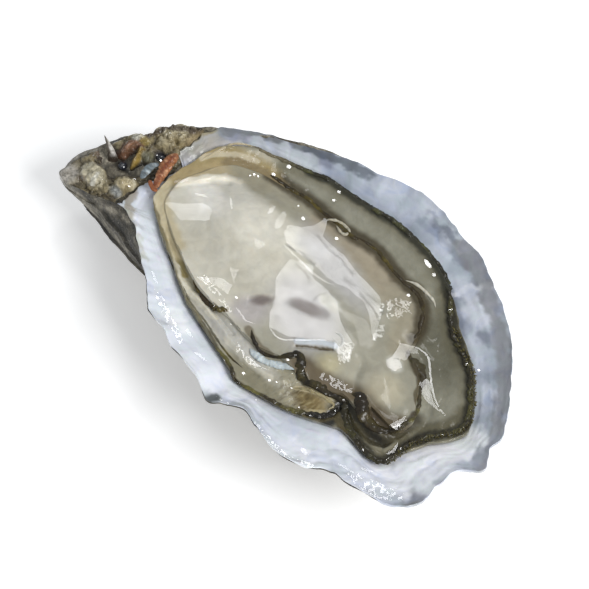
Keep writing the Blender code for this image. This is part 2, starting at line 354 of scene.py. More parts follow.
class Paint:
    """Colours laid over the points of a piece, in the order in which they are called."""

    def __init__(self, points, base, ragged=0.35):
        self.rgb = np.tile(np.array(colour(*base)), (len(points), 1))
        x, y = on_level(points)
        self.x = x + ragged * uneven(x, y, 2.2, 3, 11.0)
        self.y = y + ragged * uneven(x, y, 2.2, 3, 23.0)

    def lay(self, cover, shade):
        cover = np.clip(cover, 0.0, 1.0)[:, None]
        self.rgb += (np.array(colour(*shade)) - self.rgb) * cover

    def stroke(self, path, width, shade, cover=1.0, soft=0.6):
        """A line of a width, its edge soft over that share of the width."""
        gone = distance(path, self.x, self.y)
        self.lay(cover * eased((width * (0.5 + soft) - gone) / (width * soft)), shade)

    def spot(self, x, y, half_x, half_y, shade, cover=1.0, turn=0.0):
        dx, dy = self.x - x, self.y - y
        c, s = math.cos(math.radians(turn)), math.sin(math.radians(turn))
        far = np.hypot((c * dx + s * dy) / half_x, (c * dy - s * dx) / half_y)
        self.lay(cover * eased(1.5 - far), shade)

    def marks(self, rows):
        """Strokes, whose rows begin with a path, and spots, in their order."""
        for row in rows:
            (self.stroke if isinstance(row[0], list) else self.spot)(*row)

    def put_on(self, piece):
        attribute = piece.data.attributes.new("paint", "FLOAT_COLOR", "POINT")
        rgba = np.concatenate([self.rgb, np.ones((len(self.rgb), 1))], 1)
        attribute.data.foreach_set("color", np.clip(rgba, 0.0, 1.0).ravel())


def distance(path, x, y):
    """How far plan points lie from a path of straight stretches."""
    best = np.full(x.shape, 1e9)
    for (ax, ay), (bx, by) in zip(path[:-1], path[1:]):
        dx, dy = bx - ax, by - ay
        along = np.clip(((x - ax) * dx + (y - ay) * dy) / (dx * dx + dy * dy), 0.0, 1.0)
        best = np.minimum(best, np.hypot(x - ax - along * dx, y - ay - along * dy))
    return best


def finished(piece, finish, stands_for):
    """A piece with its finish, standing for a node of the frame."""
    piece.data.materials.append(finish.material)
    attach(piece, "root")
    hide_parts(stands_for)


GROWTH_STEPS, FLAKES, RIBS = 5, 21, 9


def crust_wall(angle, depth, rim_line):
    """The outside of the valve, from the rim at depth 0 to the foot at depth 1, with its growth steps."""
    top = np.stack(rim_line)
    foot = np.stack([np.full_like(angle, FLOOR_SPOT), np.zeros_like(angle)])
    bend = 2.0 * np.stack(girth_loop.at(angle)) - 0.5 * (top + foot)
    reach, height = (1.0 - depth) ** 2 * top + 2.0 * depth * (1.0 - depth) * bend + depth**2 * foot
    turn = at_level(2.0 * np.cos(angle), 2.0 * np.sin(angle), 0.5)
    wander = fractal(turn, 1.0, 1)
    line = at_level(*plan(angle, reach), height)
    rough = fractal(line, 5.0, 4, 5.0)
    step = (depth * GROWTH_STEPS + 0.6 * wander + 0.12 * rough) % 1.0
    flake = (depth * FLAKES + 2.0 * wander + 0.5 * rough) % 1.0
    ribs = np.sin(RIBS * angle + 2.0 * wander)
    sunk = 1.3 * step + 0.45 * flake + 1.0 * (1.0 + ribs) * (1.0 - depth) - 0.45 * rough
    fade = math.sin(math.pi * depth) ** 0.5
    x, y = plan(angle, reach - sunk * fade)
    return at_level(x, y, np.maximum(height - 0.3 * rough * fade, 0.0))


def lined(angle):
    """How far the nacre covers the rim: not at the hinge and hardly at the far left."""
    x, y = plan(angle, rim_loop.at(angle)[0])
    far_left = np.exp(-(((x + 23.0) / 7.0) ** 2)) * (y > 5.0)
    return eased((x + 37.5 + 2.4 * eased((y - 4.0) / 3.0)) / 2.0) * (1.0 - 0.5 * far_left)


def bared(angle):
    """Where the crust shows under the nacre along the near side of the rim."""
    x, y = plan(angle, rim_loop.at(angle)[0])
    notch = np.exp(-(((x - 8.6) / 2.2) ** 2)) + 0.5 * np.exp(-(((x - 27.0) / 9.0) ** 2))
    return eased(0.35 + 1.6 * uneven(x, y, 7.0, 2, 167.0) + notch) * (y < -8.0)


WALL_STEPS = 84
UNDER_NACRE, UNDER_BODY = 0.55, 0.6
rim_angles = rim_loop.even_angles(AROUND)
rim_line = rim(rim_angles)
seat_line = seat(rim_angles)
worn, bare = lined(rim_angles), bared(rim_angles)
worn_rim = rim_line[0] - worn * (0.15 - 0.32 * bare), rim_line[1] - worn * (0.6 - 0.1 * bare)
crust_rings = [at_level(*plan(rim_angles, FLOOR_SPOT * share)) for share in (0.35, 0.7, 1.0)]
for ring in range(WALL_STEPS - 1, -1, -1):
    crust_rings.append(crust_wall(rim_angles, ring / WALL_STEPS, worn_rim))
for share in np.linspace(0.03, 1.0, 14):
    x, y, z = band(rim_angles, share, worn_rim, seat_line)
    crust_rings.append(at_level(x, y, z - UNDER_NACRE * min(share * 8.0, 1.0)))
for share in (0.3, 0.6, 0.9):
    z = CUP_FLOOR + (seat_line[1] - CUP_FLOOR) * (1.0 - share) ** CUP_FLATNESS
    crust_rings.append(at_level(*plan(rim_angles, seat_line[0] * (1.0 - share)), z - UNDER_BODY))
crust, crust_points = outline_of_rings(np.array(crust_rings), "crust")

crust_paint = Paint(crust_points, (112, 106, 92), 1.5)
patches = fractal(crust_points, 9.0, 4, 31.0)
streaks = fractal(crust_points * np.array([0.35, 1.0, 1.0]), 2.4, 4, 37.0)
crust_paint.lay(1.6 * patches, (58, 54, 48))
crust_paint.stroke([(-45, -15), (-36, -15), (-28, -16)], 5.0, (64, 60, 48), 0.75)
crust_paint.lay(1.7 * streaks, (36, 34, 28))
crust_paint.lay(-2.2 * streaks - 0.3, (164, 158, 144))
crust_paint.lay(-1.6 * patches - 0.5, (176, 172, 160))
crust_paint.lay(2.0 * fractal(crust_points, 6.0, 3, 41.0) - 0.6, (88, 84, 58))
crust_paint.spot(-51.0, -16.0, 5.5, 5.0, (172, 168, 160), 0.9)
crust_paint.put_on(crust)

crust_finish = Finish("weathered_crust", {"Roughness": 0.62, "Coat Weight": 0.15, "Coat Roughness": 0.25})
fine = crust_finish.grain(0.9, 6.0, 0.65, 0.4)
specks = crust_finish.grain(0.35, 2.0, 0.5)
tinted = crust_finish.tinted(fine, 0.35, 0.7, (0.45, 0.44, 0.42), (1.25, 1.22, 1.15))
speckled = crust_finish.between(specks, 0.62, 0.75, 0.0, 0.5)
crust_finish.surface(
    crust_finish.mixed(speckled, tinted, colour(190, 184, 168)),
    crust_finish.bumps(fine + 0.4 * specks, 0.5),
)
finished(crust, crust_finish, "shell")

# The nacre: the smooth pearly lining that the animal lays over the crust, thin at the rim, where it is
# pleated and steps down in shelves. Its far side is painted a darker bluish grey as shade.

NACRE_RINGS = 66
NACRE_THICKNESS = 0.9
NACRE_END = 1.22
NACRE_DIVE = 4.0
reach = rim_line[0]
x, y = plan(rim_angles, reach)
inset = 0.08 * (1.0 + uneven(x, y, 4.0, 2, 43.0)) + 0.8 * (1.0 - worn)
limit = blend(36.6, 38.4, eased((-5.0 - y) / 3.0)) + 3.2 * eased((y - 1.0) / 2.0)
cut = limit / np.maximum(-np.cos(rim_angles), 0.2) + 0.6 * uneven(x, y, 2.5, 3, 47.0)
edge_reach = np.where(np.cos(rim_angles) < -0.3, np.minimum(reach - inset, cut), reach - inset)
edge_share = (reach - edge_reach) / (reach - seat_line[0])
over_rim = eased(1.0 - (reach - edge_reach) / 0.5)


def nacre_at(share):
    """The nacre a share of the way from the rim to the mantle's edge, and on down under the mantle."""
    z = band(rim_angles, np.minimum(share, 1.0), rim_line, seat_line)[2]
    x, y = plan(rim_angles, blend(rim_line[0], seat_line[0], share))
    return x, y, z - NACRE_DIVE * np.maximum(share - 1.0, 0.0)


turns = np.stack([np.cos(rim_angles), np.sin(rim_angles)], -1)
nacre_rings = []
for out, drop in ((-0.1, 0.95), (0.05, 0.6), (0.09, 0.25)):
    x, y = plan(rim_angles, edge_reach + out * over_rim)
    z = band(rim_angles, np.minimum(edge_share, 1.0), rim_line, seat_line)[2]
    nacre_rings.append(at_level(x, y, z - drop * (1.0 - 0.6 * bare)))
for ring in range(NACRE_RINGS):
    s = (ring / (NACRE_RINGS - 1)) ** 1.15
    x, y, z = nacre_at(edge_share + (NACRE_END - edge_share) * s)
    pleats = fractal(np.concatenate([turns * 13.0, np.full((AROUND, 1), s * 1.1)], 1), 1.0, 2, 51.0)
    pleats *= blend(0.7, 0.2, eased((y - 2.0) / 8.0))
    lip = eased((x - 20.0) / 12.0) * eased((-10.0 - y) / 6.0)
    ripple = uneven(x, y, 4.5, 3, 53.0) * (1.0 + lip) + lip * np.abs(uneven(x, y, 3.0, 2, 173.0))
    shelf = uneven(rim_angles * 3.0, 6.0 * s, 1.0, 2, 59.0)
    z = z + 0.34 * pleats * (1.0 - s) ** 0.7 + 0.22 * ripple * (1.0 - s) + 0.12 * shelf
    nacre_rings.append(at_level(x, y, z - 0.2 * np.exp(-s * 60.0) * (1.0 - over_rim)))
for s in (0.9, 0.6, 0.3, 0.05):
    x, y, z = nacre_at(edge_share + (NACRE_END - edge_share) * s)
    nacre_rings.append(at_level(x, y, z - NACRE_THICKNESS))
nacre, nacre_points = outline_of_rings(np.array(nacre_rings), "nacre_lining", "itself")

nacre_paint = Paint(nacre_points, (222, 226, 234), 1.2)
# Painted shade: the far side of the nacre is laid darker and bluer; clouds of grey and white lie over both
# sides.
shaded_far_side = eased((nacre_points[:, 1] - 4.0 + 0.25 * np.minimum(nacre_points[:, 0] - 30.0, 0.0)) / 7.0)
around, out = squeezed(nacre_points[:, 0], nacre_points[:, 1])
bands = uneven(around * 9.0, out * 0.45, 1.6, 3, 61.0)
clouds = fractal(nacre_points, 9.0, 2, 63.0)
nacre_paint.lay(0.95 * shaded_far_side, (182, 190, 203))
nacre_paint.lay(shaded_far_side * (1.1 * clouds + 0.2 * bands), (140, 147, 161))
nacre_paint.lay(shaded_far_side * (-1.2 * clouds - 0.2 * bands), (226, 231, 240))
nacre_paint.lay((1.0 - shaded_far_side) * (1.3 * clouds - 0.15), (188, 195, 208))
nacre_paint.lay((1.0 - shaded_far_side) * (-1.3 * clouds - 0.1), (242, 243, 248))
nacre_paint.marks([
    (25.4, 20.9, 3.2, 2.4, (222, 226, 236), 0.85), (18.8, 22.7, 2.4, 1.4, (214, 219, 230), 0.7),
    (11.0, 23.7, 3.0, 1.2, (206, 212, 224), 0.6), (-1.2, 24.8, 3.4, 1.3, (192, 199, 212), 0.6),
    (30.2, 18.2, 1.8, 1.4, (126, 132, 146), 0.8), (44.0, 6.2, 1.8, 2.6, (150, 158, 172), 0.7),
    (-15.1, 23.4, 3.0, 0.9, (176, 186, 196), 0.7), (21.8, 22.0, 2.0, 2.0, (218, 222, 230), 0.8),
    (7.8, 28.4, 5.0, 0.9, (124, 131, 146), 0.8), (14.2, 26.4, 4.0, 1.2, (132, 139, 154), 0.7),
    (5.0, 26.6, 4.0, 1.0, (146, 154, 170), 0.7), (37.0, 13.2, 2.4, 2.0, (146, 154, 171), 0.7),
    (45.7, -0.6, 1.9, 2.4, (240, 241, 246), 0.8), (43.6, -6.4, 2.4, 2.6, (248, 249, 253), 0.8),
    (-8.3, -22.5, 3.8, 1.5, (247, 248, 252), 0.85), (44.4, -14.6, 2.2, 1.5, (240, 242, 247), 0.8),
    (46.0, -10.4, 2.6, 1.2, (236, 239, 245), 0.7), (28.0, -23.0, 3.0, 1.0, (244, 245, 249), 0.7),
    (9.0, -25.0, 4.0, 1.1, (240, 242, 248), 0.7), (8.3, -29.0, 1.9, 1.5, (70, 75, 76), 0.95),
    ([(18.9, 18.8), (20.1, 22.8), (22.2, 26.8)], 0.7, (232, 235, 240), 0.8, 0.9),
    # Painted highlight: a white arc where a raised ridge of nacre would catch the light, with painted shade
    # in the grey line inside it.
    ([(38.8, -13.4), (39.6, -9.4), (40.6, -5.9), (42.6, -3.0), (45.4, -2.0)], 0.7, (246, 247, 250),
     0.9, 0.9),
    ([(40.0, -13.4), (41.0, -9.0), (42.2, -5.4)], 0.9, (178, 182, 190), 0.6, 0.9),
    ([(-36.4, 3.4), (-35.4, 7.4), (-33.0, 12.0)], 2.2, (172, 170, 170), 0.8, 0.9),
    ([(-38.8, 2.6), (-38.4, 7), (-37.6, 10.6)], 2.4, (158, 156, 150), 0.85, 0.9),
    ([(-40.4, 3.6), (-40.2, 7.4), (-39.4, 11.0)], 1.3, (150, 140, 110), 0.9, 0.9),
    ([(-37, 12), (-30, 17.5), (-24, 20.6), (-19, 22)], 2.0, (138, 142, 156), 0.85, 0.9),
    ([(-31, 15.0), (-28, 16.9), (-22, 19.4)], 1.6, (200, 206, 214), 0.7, 0.9),
    ([(-39.2, 11.4), (-36.2, 13.8), (-32.8, 16.2), (-28, 19.6), (-24, 21.8)], 1.1, (122, 126, 130),
     0.85, 0.9),
    ([(-24, 21.4), (-18, 24), (-12, 26)], 1.2, (92, 100, 110), 0.8, 0.9),
    ([(12, 28.6), (22, 25.6), (32, 20.6), (41, 13), (47, 5.5), (50, -2)], 1.6, (146, 146, 150),
     0.75, 0.9),
    ([(44.8, 1.4), (44.8, -1), (43, -6), (42, -12)], 2.6, (242, 243, 248), 0.8, 0.9),
    ([(47.6, 5), (49, -2), (48, -9)], 1.2, (158, 165, 178), 0.6, 0.9),
    (-36, 6.5, 2.0, 3.6, (174, 168, 154), 0.6),
    ([(-37.4, -10.6), (-36, -12.6), (-33, -14.2)], 0.9, (150, 134, 108), 0.7, 0.9),
    ([(-34, -14.6), (-28, -16.6), (-24, -18.6)], 0.7, (196, 196, 184), 0.7, 0.9),
    (47.6, -14.4, 1.6, 2.2, (130, 132, 138), 0.9),
])
nacre_paint.put_on(nacre)

nacre_finish = Finish("wet_nacre", {
    "Roughness": 0.28, "Coat Weight": 1.0, "Coat Roughness": 0.04, "Coat IOR": 1.38,
    "Subsurface Weight": 0.12, "Subsurface Radius": (0.004, 0.004, 0.005),
})
mottle = nacre_finish.grain(3.4, 2.0, 0.5, 0.6)
pearly = nacre_finish.node("ShaderNodeValToRGB", {"stops": [
    (0.25, (0.86, 0.90, 1.0)), (0.45, (1.0, 0.99, 1.0)),
    (0.6, (0.96, 1.0, 0.97)), (0.78, (1.0, 0.94, 0.98)),
]}, {0: mottle})
frosted = nacre_finish.grain(0.8, 3.0, 0.5, 0.2)
nacre_finish.surface(
    nacre_finish.mixed(1.0, nacre_finish.painted(), pearly, "MULTIPLY"),
    nacre_finish.bumps(mottle + 0.1 * frosted, 0.2),
)
finished(nacre, nacre_finish, "shell")

# The hinge: the thick end of the valve where the two valves were joined. It is broken open and crusted
# with rough tan knobs round a dark wet hollow deepened with painted shade, and a pale splinter of the upper
# valve left standing.

# A knob is x, y, radius and height. A hollow is x, y, two half widths and height.
HINGE_KNOBS = [
    (-48.5, -17.2, 2.6, 0.7), (-45.2, -13.8, 2.7, 2.2), (-43.3, -15.2, 1.6, 1.0), (-46.3, -16.2, 1.2, 0.5),
    (-39.8, -10.5, 2.1, 1.9), (-39.3, -12.7, 1.7, 0.8), (-37.8, -9.5, 0.9, 0.6), (-47.0, -1.8, 1.4, 1.3),
    (-45.1, -1.0, 1.3, 1.1), (-41.9, -3.4, 1.4, 1.0), (-41.8, 1.4, 2.1, 1.4), (-42.8, 4.4, 2.4, 1.6),
    (-44.9, 2.2, 1.4, 1.1), (-39.4, 4.4, 1.6, 1.1), (-40.9, 6.4, 1.5, 1.0), (-49.4, -10.6, 1.3, 0.9),
    (-48.8, -12.6, 1.2, 0.8), (-47.9, -5.6, 1.2, 0.7), (-38.2, 7.4, 1.3, 0.8), (-36.9, 9.4, 1.2, 0.6),
    (-47.4, -10.6, 1.0, 0.6), (-41.6, -14.2, 1.2, 0.8), (-39.6, 1.4, 1.0, 0.7),
]
HINGE_HOLLOWS = [
    (-44.9, -9.4, 2.9, 1.9, -2.4), (-42.3, -8.2, 1.9, 1.6, -1.7), (-40.0, -1.6, 1.3, 1.3, -1.1),
    (-40.6, -6.6, 0.8, 1.7, -1.4), (-43.9, -5.4, 0.9, 1.6, -1.2),
]
HINGE_RIDGES = [
    ([(-43.8, -3.3), (-42.7, -5.4), (-41.9, -7.2)], 0.6, 1.7),
    ([(-45.3, -6.6), (-46.0, -4.4), (-45.4, -2.4)], 0.9, 1.7),
    ([(-45.4, 0.4), (-44.8, 4.2), (-41.4, 6.8), (-38.6, 9.0)], 0.6, 0.6),
]
HINGE_COLUMNS, HINGE_ROWS = 400, 120
HINGE_THICKNESS = 1.6
HINGE_DIVE = 2.2


def relief(x, y, z, lines, hills=()):
    """The height that ridges along paths and rounded hills, placed on the 20 mm level, add to a surface."""
    u, v = on_level(at_level(x, y, z))
    return swell(u, v, hills) + sum(
        height * np.exp(-((distance(path, u, v) / half_width) ** 2)) for path, half_width, height in lines
    )


def hinge_height(x, y, base):
    """The rough ground of the hinge with its knobs, ridges and hollows."""
    u, v = on_level(at_level(x, y, base))
    u = u + 0.5 * uneven(u, v, 1.4, 3, 71.0)
    v = v + 0.5 * uneven(u, v, 1.4, 3, 73.0)
    z = base + relief(x, y, base, HINGE_RIDGES, HINGE_HOLLOWS)
    for cx, cy, radius, height in HINGE_KNOBS:
        z = z + 0.9 * height * np.sqrt(np.maximum(1.0 - ((u - cx) ** 2 + (v - cy) ** 2) / radius**2, 0.0))
    pits = np.abs(uneven(u, v, 1.6, 3, 83.0))
    return z + 0.18 * uneven(u, v, 1.0, 4, 79.0) - 0.4 * np.maximum(0.1 - pits, 0.0) / 0.1


hinge_angles = rim_loop.even_angles(HINGE_COLUMNS, math.radians(146.0), math.radians(215.0), 3000, True)
hinge_rim, hinge_seat = rim(hinge_angles), seat(hinge_angles)
rows, rises = [], []
for row in range(HINGE_ROWS):
    share = 0.005 + 1.02 * row / (HINGE_ROWS - 1)
    x, y, base = band(hinge_angles, np.full(HINGE_COLUMNS, min(share, 1.0)), hinge_rim, hinge_seat)
    x, y = plan(hinge_angles, blend(hinge_rim[0], hinge_seat[0], share))
    z = hinge_height(x, y, base)
    z = blend(base, z, eased((share + 0.02) * 14.0))
    rises.append(z - base)
    end = np.minimum(np.arange(HINGE_COLUMNS), np.arange(HINGE_COLUMNS)[::-1]) / 14.0
    u, v = on_level(at_level(x, y, base))
    limit = blend(-37.2, -38.6, eased((-6.5 - v) / 2.0)) - 3.0 * eased((v - 1.0) / 2.0)
    limit = limit + 0.5 * uneven(x, y, 1.5, 2, 89.0)
    past = eased((u - limit) / 1.4)
    rows.append(at_level(x, y, z - 1.5 * (1.0 - eased(end)) - HINGE_DIVE * past))
top = np.array(rows)
sheet = np.concatenate([top, (top - HINGE_THICKNESS * UP)[::-1]])
hinge, hinge_points = outline_of_rings(sheet.transpose(1, 0, 2), "hinge_crust")

hinge_paint = Paint(hinge_points, (140, 130, 102), 0.4)
lumps = fractal(hinge_points, 2.2, 4, 97.0)
rise = np.concatenate([rises, rises[::-1]]).T.ravel()
rise = np.concatenate([rise, np.zeros(len(hinge_points) - len(rise))])
hinge_paint.lay(1.5 * lumps, (84, 76, 58))
# Painted by height: paler on the raised knobs, their own pale tone with painted light, and darker in the
# low parts as painted shade.
hinge_paint.lay(eased((rise - 0.5) / 1.2) - 0.8 * np.maximum(lumps, 0.0), (196, 190, 168))
hinge_paint.lay(eased((0.35 - rise) / 0.9), (52, 43, 35))
hinge_paint.marks([
    (-48.7, -17.4, 2.4, 2.4, (178, 174, 168), 0.9), (-45.3, -13.8, 2.4, 1.8, (190, 184, 162), 0.8),
    ([(-44.9, -13.2), (-43.7, -15.4)], 0.5, (208, 208, 200), 0.8),
    (-46.2, -16.0, 0.9, 0.8, (90, 74, 52), 0.8), (-39.8, -10.6, 1.8, 1.4, (176, 162, 126), 0.75),
    # The hollows are painted near black: their own dark wet colour deepened with painted shade.
    (-39.5, -13.0, 1.4, 0.9, (170, 176, 180), 0.7), (-44.9, -8.9, 3.0, 2.0, (40, 27, 22), 1.0),
    (-41.0, -4.6, 1.2, 1.8, (70, 66, 56), 0.8), (-42.2, -8.2, 1.9, 1.5, (42, 32, 24), 1.0),
    (-43.9, -5.6, 0.9, 1.6, (48, 38, 26), 0.9), (-48.6, -8.8, 1.4, 2.0, (96, 78, 72), 0.7),
    ([(-45.3, -6.6), (-46.0, -4.4), (-45.4, -2.2)], 1.5, (102, 70, 52), 0.95),
    ([(-46.0, -4.6), (-45.5, -2.6)], 0.6, (140, 104, 80), 0.7),
    ([(-43.8, -3.3), (-42.7, -5.4), (-41.9, -7.2)], 0.9, (148, 124, 62), 0.95),
    ([(-40.8, -8.0), (-40.6, -5.2)], 0.9, (44, 40, 32), 0.9),
    (-40.0, -1.6, 1.2, 1.2, (26, 30, 44), 0.9), (-41.8, -3.3, 1.2, 1.2, (108, 110, 92), 0.7),
    (-47.0, -2.0, 1.0, 0.8, (200, 200, 190), 0.8), (-45.0, -1.2, 1.0, 0.9, (152, 136, 78), 0.8),
    ([(-45.6, 0.4), (-45.0, 4.2), (-41.6, 7.0), (-38.4, 9.6)], 0.9, (68, 56, 46), 0.85),
    (-41.4, 3.0, 2.2, 2.6, (150, 136, 100), 0.6), (-38.6, 6.4, 1.8, 2.8, (166, 150, 118), 0.8),
])
hinge_paint.put_on(hinge)

hinge_finish = Finish("broken_hinge", {
    "Roughness": 0.5, "Specular IOR Level": 0.3,
    "Coat Weight": 0.7, "Coat Roughness": 0.08, "Coat IOR": 1.4,
})
gritty = hinge_finish.grain(0.9, 5.0, 0.6, 0.4)
specks = hinge_finish.grain(0.35, 2.0, 0.5)
tinted = hinge_finish.tinted(gritty, 0.35, 0.68, (0.62, 0.6, 0.55), (1.18, 1.16, 1.12))
# The pale flecks are pale grit and painted glints of wet shine.
paler = hinge_finish.mixed(0.5, tinted, colour(214, 208, 190))
hinge_finish.surface(
    hinge_finish.mixed(hinge_finish.between(specks, 0.62, 0.7, 0.0, 0.45), tinted, paler),
    hinge_finish.bumps(gritty + 0.4 * specks, 0.25),
)
finished(hinge, hinge_finish, "shell")

SHARD_FOOT = Vector((-47.1, -7.4, 15.8))
SHARD_TIP = Vector((-49.0, -7.8, 23.2))
along = SHARD_TIP - SHARD_FOOT
across = Vector((0.75, 0.66, 0.0))
through = along.cross(across).normalized()
shard_rings = []
for step in np.linspace(0.0, 1.0, 26):
    middle = SHARD_FOOT + along * float(step) + across * 0.35 * math.sin(3.0 * step)
    half = 1.15 * (1.0 - step) ** 0.8 + 0.04
    ring = []
    for turn in circle(20):
        jag = 1.0 + 0.18 * noise.noise(Vector((math.cos(turn), math.sin(turn), 5.0 * step)) * 1.5)
        point = middle + across * (half * math.cos(turn) * jag)
        ring.append(point + through * (0.42 * half * math.sin(turn) * jag))
    shard_rings.append(ring)
shard, shard_points = outline_of_rings(np.array(shard_rings), "upper_valve_splinter")
shard_paint = Paint(shard_points, (214, 212, 210), 0.1)
shard_paint.stroke([(-50.7, -6.6), (-48.9, -7.6), (-47.3, -8.6)], 0.8, (92, 84, 76), 0.95, 0.4)
shard_paint.lay(eased((19.4 - shard_points[:, 2]) / 1.6), (58, 48, 40))
shard_paint.put_on(shard)
finished(shard, hinge_finish, "shell")

DROPS = [(-43.3, -8.3, 0.95), (-40.0, -1.6, 1.15)]
DROP_SUNK = 2.6
drop_finish = Finish("black_drop", {
    "Base Color": (*colour(14, 18, 30), 1.0), "Roughness": 0.12, "Coat Weight": 1.0, "Coat Roughness": 0.02,
})
drops = []
for number, (cx, cy, radius) in enumerate(DROPS):
    rings = []
    for tilt in np.linspace(-80.0, 80.0, 15):
        turn = circle(28)
        ring = radius * math.cos(math.radians(tilt))
        x = cx - LEAN[0] * DROP_SUNK + ring * np.cos(turn)
        y = cy - LEAN[1] * DROP_SUNK + ring * np.sin(turn)
        rings.append(at_level(x, y, LEVEL + 0.8 * radius * math.sin(math.radians(tilt)) - DROP_SUNK))
    wet_drop, _ = outline_of_rings(np.array(rings), f"hinge_drop_{number}")
    drops.append(wet_drop)
    finished(wet_drop, drop_finish, "shell")

# The ligament: the springy orange-brown pad that held the valves together, torn open into short fibres
# across the end of the hinge.

# The paths of cords are x, y and half width.
LIGAMENT_PATH = [
    (-38.7, 1.6, 0.6), (-38.4, 0.2, 1.1), (-37.9, -1.6, 1.25), (-37.2, -3.2, 1.1), (-36.4, -4.6, 0.9),
    (-35.5, -6.0, 0.7), (-34.9, -7.0, 0.55),
]


def smooth_path(points, count):
    """Evenly spread points on a smooth line through the given ones."""
    points = np.array(points, float)
    before = np.concatenate([[2.0 * points[0] - points[1]], points[:-1]])
    after = np.concatenate([points[1:], [2.0 * points[-1] - points[-2]]])
    slopes = (after - before) * 0.5
    t = np.linspace(0.0, 1.0, 12, endpoint=False)[:, None]
    curve = np.concatenate([
        (2 * t**3 - 3 * t**2 + 1) * points[i] + (t**3 - 2 * t**2 + t) * slopes[i]
        + (3 * t**2 - 2 * t**3) * points[i + 1] + (t**3 - t**2) * slopes[i + 1]
        for i in range(len(points) - 1)
    ] + [points[-1:]])
    return evened(curve, count)


def cord(name, line, half_widths, flatness, sides, ruffle, grain, seed):
    """A soft cord along a line of points, flattened, tapered at its ends and ruffled."""
    count = len(line)
    ahead = np.gradient(line, axis=0)
    side = np.cross(ahead, UP)
    side /= np.linalg.norm(side, axis=1)[:, None]
    share = np.linspace(0.0, 1.0, count)
    taper = np.sqrt(np.clip(np.minimum(share, 1.0 - share) * count / 14.0, 0.02, 1.0))
    half = (half_widths * taper)[:, None, None]
    turn = circle(sides)[None, :, None]
    points = line[:, None, :] + half * (
        side[:, None, :] * np.cos(turn) + flatness * UP * np.sin(turn)
    )
    rough = fractal(points.reshape(-1, 3), grain, 3, seed).reshape(count, sides, 1)
    return outline_of_rings(points + (points - line[:, None, :]) * (ruffle * 2.0 * rough), name)


ligament_finish = Finish("torn_fibres", {
    "Roughness": 0.4, "Specular IOR Level": 0.3,
    "Coat Weight": 0.7, "Coat Roughness": 0.08, "Coat IOR": 1.33,
    "Subsurface Weight": 0.06, "Subsurface Radius": (0.001, 0.0007, 0.0004),
})
fibres = ligament_finish.grain(0.5, 4.0, 0.6, 0.8, (0.4, 1.0, 1.0))
ligament_finish.surface(
    ligament_finish.tinted(fibres, 0.35, 0.65, (0.62, 0.56, 0.52), (1.15, 1.12, 1.1)),
    ligament_finish.bumps(fibres, 0.2),
)
LIGAMENT_LEVEL = 19.9
MEMBRANE = [
    (-38.5, -7.4, 0.3), (-39.0, -6.2, 0.7), (-39.4, -4.8, 0.85), (-39.4, -3.6, 0.7), (-38.9, -2.7, 0.4),
]
LIGAMENT_TAIL = [(-37.2, -6.4, 0.3), (-36.2, -6.8, 0.5), (-35.2, -7.0, 0.5), (-34.2, -6.9, 0.3)]
for name, path, shade, paler, flatness in (
    ("torn_ligament", LIGAMENT_PATH, (158, 104, 66), (214, 168, 130), 0.5),
    ("torn_ligament_tail", LIGAMENT_TAIL, (152, 92, 56), (186, 126, 84), 0.45),
    ("torn_membrane", MEMBRANE, (112, 126, 134), (168, 182, 188), 0.35),
):
    line = smooth_path(path, 160)
    ligament, ligament_points = cord(
        name, at_level(line[:, 0], line[:, 1], LIGAMENT_LEVEL), line[:, 2], flatness, 28, 0.13, 1.1, 5.0
    )
    ligament_paint = Paint(ligament_points, shade, 0.2)
    ligament_paint.lay(-1.6 * fractal(ligament_points, 1.2, 3, 179.0) - 0.1, paler)
    ligament_paint.marks([
        ([(-38.6, 0.8), (-38.0, -1.6), (-37.0, -3.6)], 0.4, (118, 58, 32), 0.8, 0.9),
        ([(-36.8, -4.4), (-35.8, -6.2)], 0.4, (128, 66, 38), 0.8, 0.9),
    ])
    ligament_paint.put_on(ligament)
    finished(ligament, ligament_finish, "ligament")

# The mantle: the thin greenish-grey skirt of flesh that lies round the body on the nacre. It sags into a
# shallow trough where the liquor gathers, and lies in long low folds on the near side.

FOLD_EDGE = [
    (-32.6, 2.5, 19.8), (-30.6, 8.6, 19.0), (-25.0, 11.6, 18.8), (-18.0, 13.0, 18.8),
    (-9.0, 14.0, 18.8), (0.0, 15.8, 19.0), (8.0, 15.2, 19.0), (14.0, 14.6, 19.0),
    (18.4, 13.6, 19.0), (21.4, 10.0, 19.0), (23.0, 6.0, 19.0), (27.6, 4.4, 19.2),
    (32.0, -0.2, 19.4), (35.2, -3.6, 19.6), (35.2, -7.6, 19.8), (31.6, -9.8, 20.2),
    (26.0, -7.6, 20.4), (23.2, -9.8, 20.4), (17.0, -13.0, 20.2), (14.8, -13.2, 20.2),
    (12.0, -10.4, 20.4), (9.6, -13.2, 20.2), (5.0, -15.2, 20.2), (-3.0, -14.8, 20.2),
    (-12.0, -14.9, 20.2), (-20.0, -12.6, 20.2), (-26.6, -10.2, 20.2), (-31.6, -7.4, 20.0),
    (-33.2, -3.0, 20.2),
]
NEAR_STEP, FAR_STEP = 0.5, 0.35
NEAR_SAG, FAR_SAG = 0.8, 0.9
SKIRT_RINGS = 92
FLESH_AROUND = 860
FLESH_CLEARANCE = 0.35
fold_loop = Loop(FOLD_EDGE)
mantle_angles = mantle_loop.even_angles(FLESH_AROUND)
mantle_line = mantle_loop.at(mantle_angles)
fold_line = fold_loop.at(mantle_angles)


def under_flesh(angle, share):
    """The underside of the flesh, just clear of the nacre."""
    reach, height = seat(angle)
    x, y = plan(angle, reach * (1.0 - share))
    z = CUP_FLOOR + (height - CUP_FLOOR) * (1.0 - share) ** CUP_FLATNESS
    return at_level(x, y, z + FLESH_CLEARANCE)


